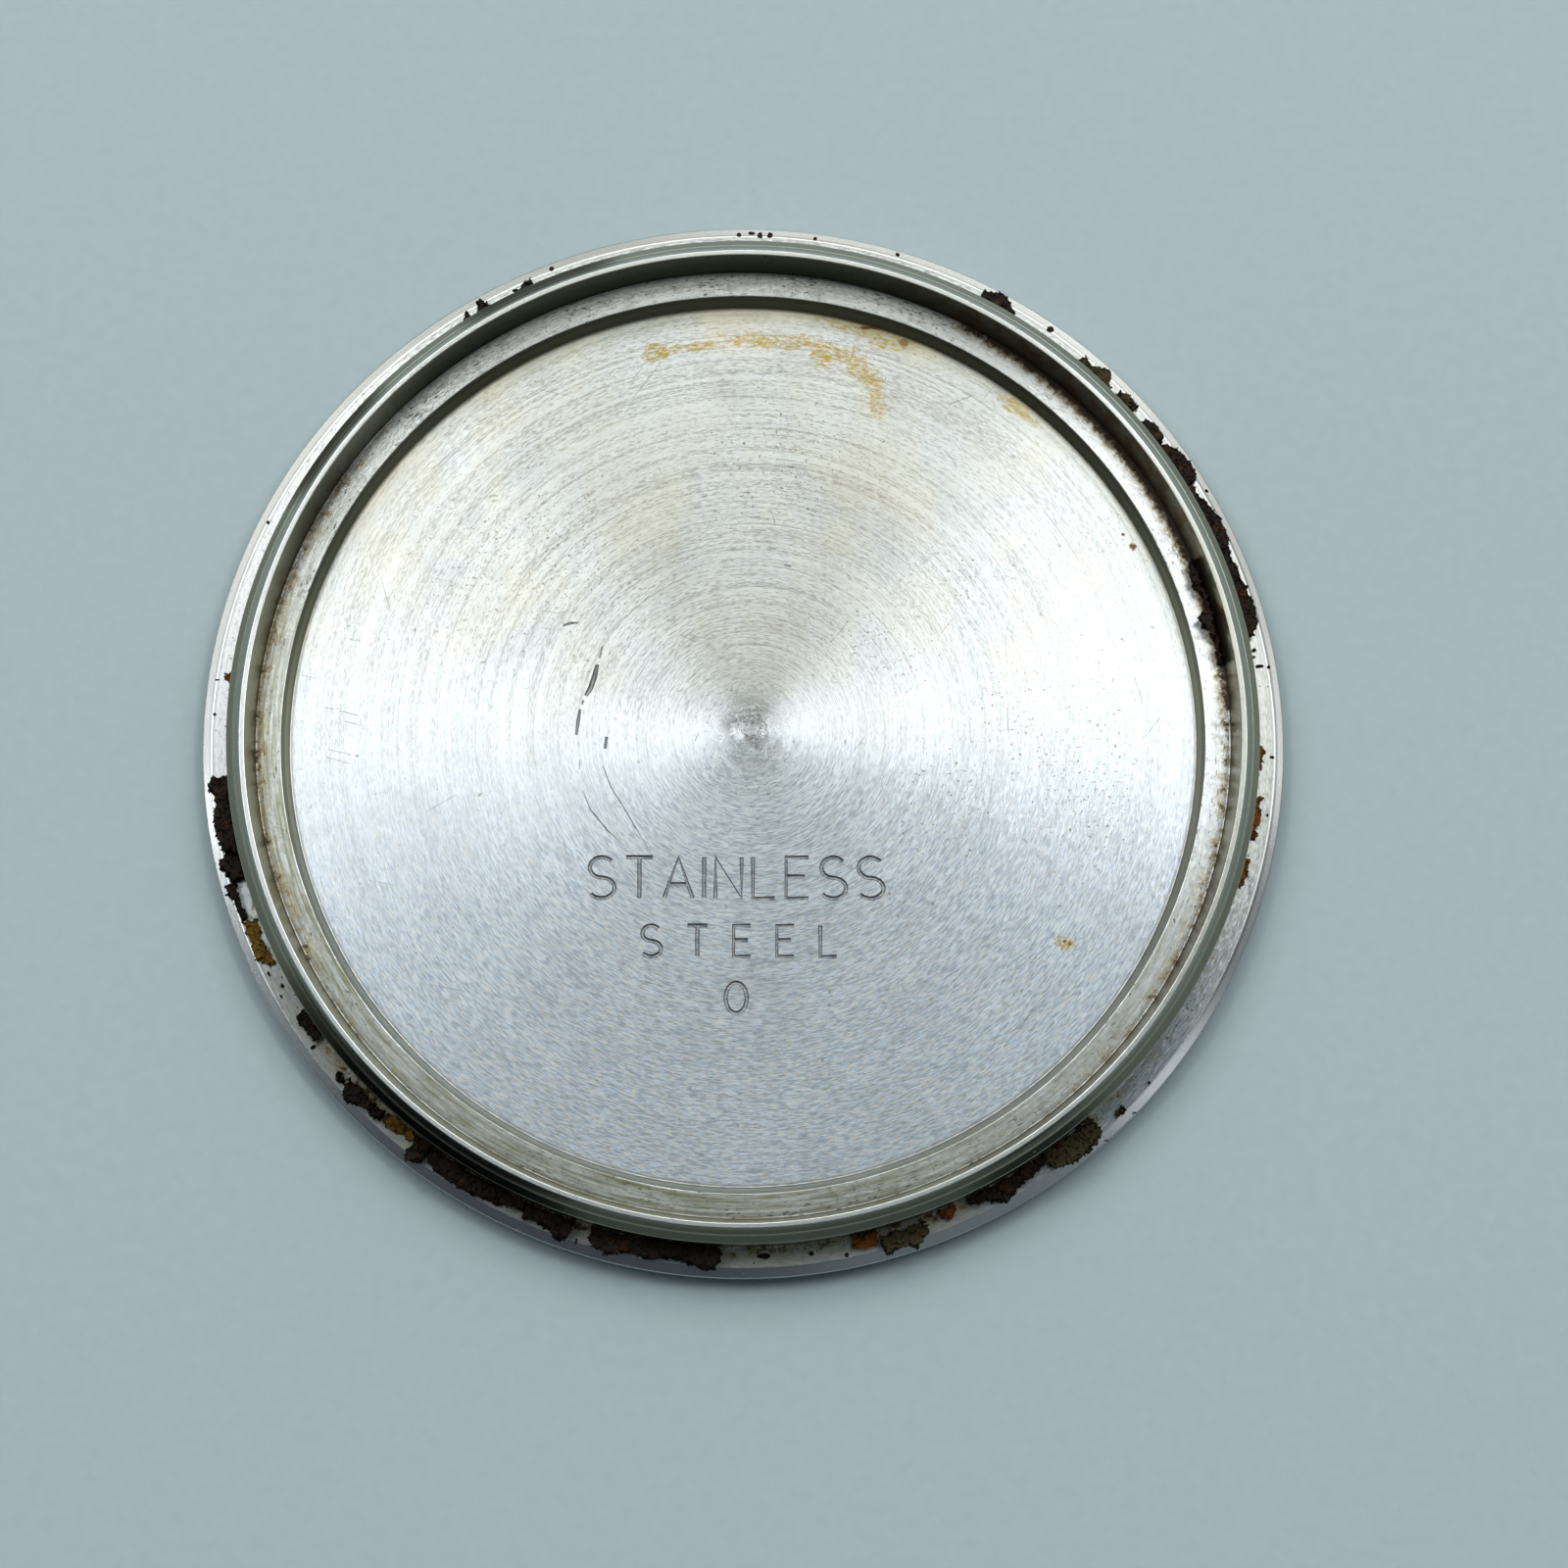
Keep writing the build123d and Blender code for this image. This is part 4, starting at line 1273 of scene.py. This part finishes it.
def place_camera(stage):
    """Camera at the place from which the photograph was taken."""
    camera = bpy.data.cameras.new("camera")
    camera.lens = stage.lens
    camera.sensor_width = SENSOR_WIDTH
    camera.clip_start, camera.clip_end = CAMERA_REACH
    holder = bpy.data.objects.new("camera", camera)
    bpy.context.scene.collection.objects.link(holder)
    holder.location = Vector(stage.camera_place) * MM
    holder.rotation_euler = stage.camera_turn
    bpy.context.scene.camera = holder


class CASEBACK_OT_stage(bpy.types.Operator):
    """Set the table, the softboxes, the room's light and the camera"""
    bl_idname = "case_back.stage"
    bl_label = "Set Stage"

    def execute(self, context):
        stage = context.scene.case_back.stage
        deselect_all()
        bpy.ops.mesh.primitive_plane_add(size=stage.table_size, location=(0, 0, 0))
        table = name_new_piece("table")
        table.data.materials.append(painted_board(stage.table))
        for name, place, width, height, setting, tint in SOFTBOXES:
            softbox(name, place, width, height, getattr(stage, setting), tint)
        light_room(stage)
        place_camera(stage)
        context.scene.view_settings.view_transform = "Standard"
        return {"FINISHED"}


class CASEBACK_PT_panel(bpy.types.Panel):
    """The case back's settings and steps, in the order in which they are run"""
    bl_idname = "CASEBACK_PT_panel"
    bl_label = "Case Back"
    bl_space_type = "VIEW_3D"
    bl_region_type = "UI"
    bl_category = "Case Back"

    def draw(self, context):
        group = context.scene.case_back
        for step in STEPS:
            self.layout.operator(step.bl_idname)
        for part in (group.sizes, group.gasket, group.steel, group.rubber, group.stage):
            box = self.layout.box()
            for key in part.__annotations__:
                box.prop(part, key)


STEPS = (CASEBACK_OT_stage, CASEBACK_OT_steel, CASEBACK_OT_remnants, CASEBACK_OT_lump, CASEBACK_OT_crumbs)
CLASSES = (CaseBackSizes, GasketSizes, SteelColours, RubberColours, StageSettings, CaseBackSettings,
           *STEPS, CASEBACK_PT_panel)


def register():
    """Add the settings, the steps and the panel to Blender."""
    for cls in CLASSES:
        bpy.utils.register_class(cls)
    bpy.types.Scene.case_back = PointerProperty(type=CaseBackSettings)


def unregister():
    """Take them out again."""
    del bpy.types.Scene.case_back
    for cls in reversed(CLASSES):
        bpy.utils.unregister_class(cls)


def main():
    register()
    for step in STEPS:
        group, name = step.bl_idname.split(".")
        getattr(getattr(bpy.ops, group), name)()


if __name__ == "__main__":
    main()
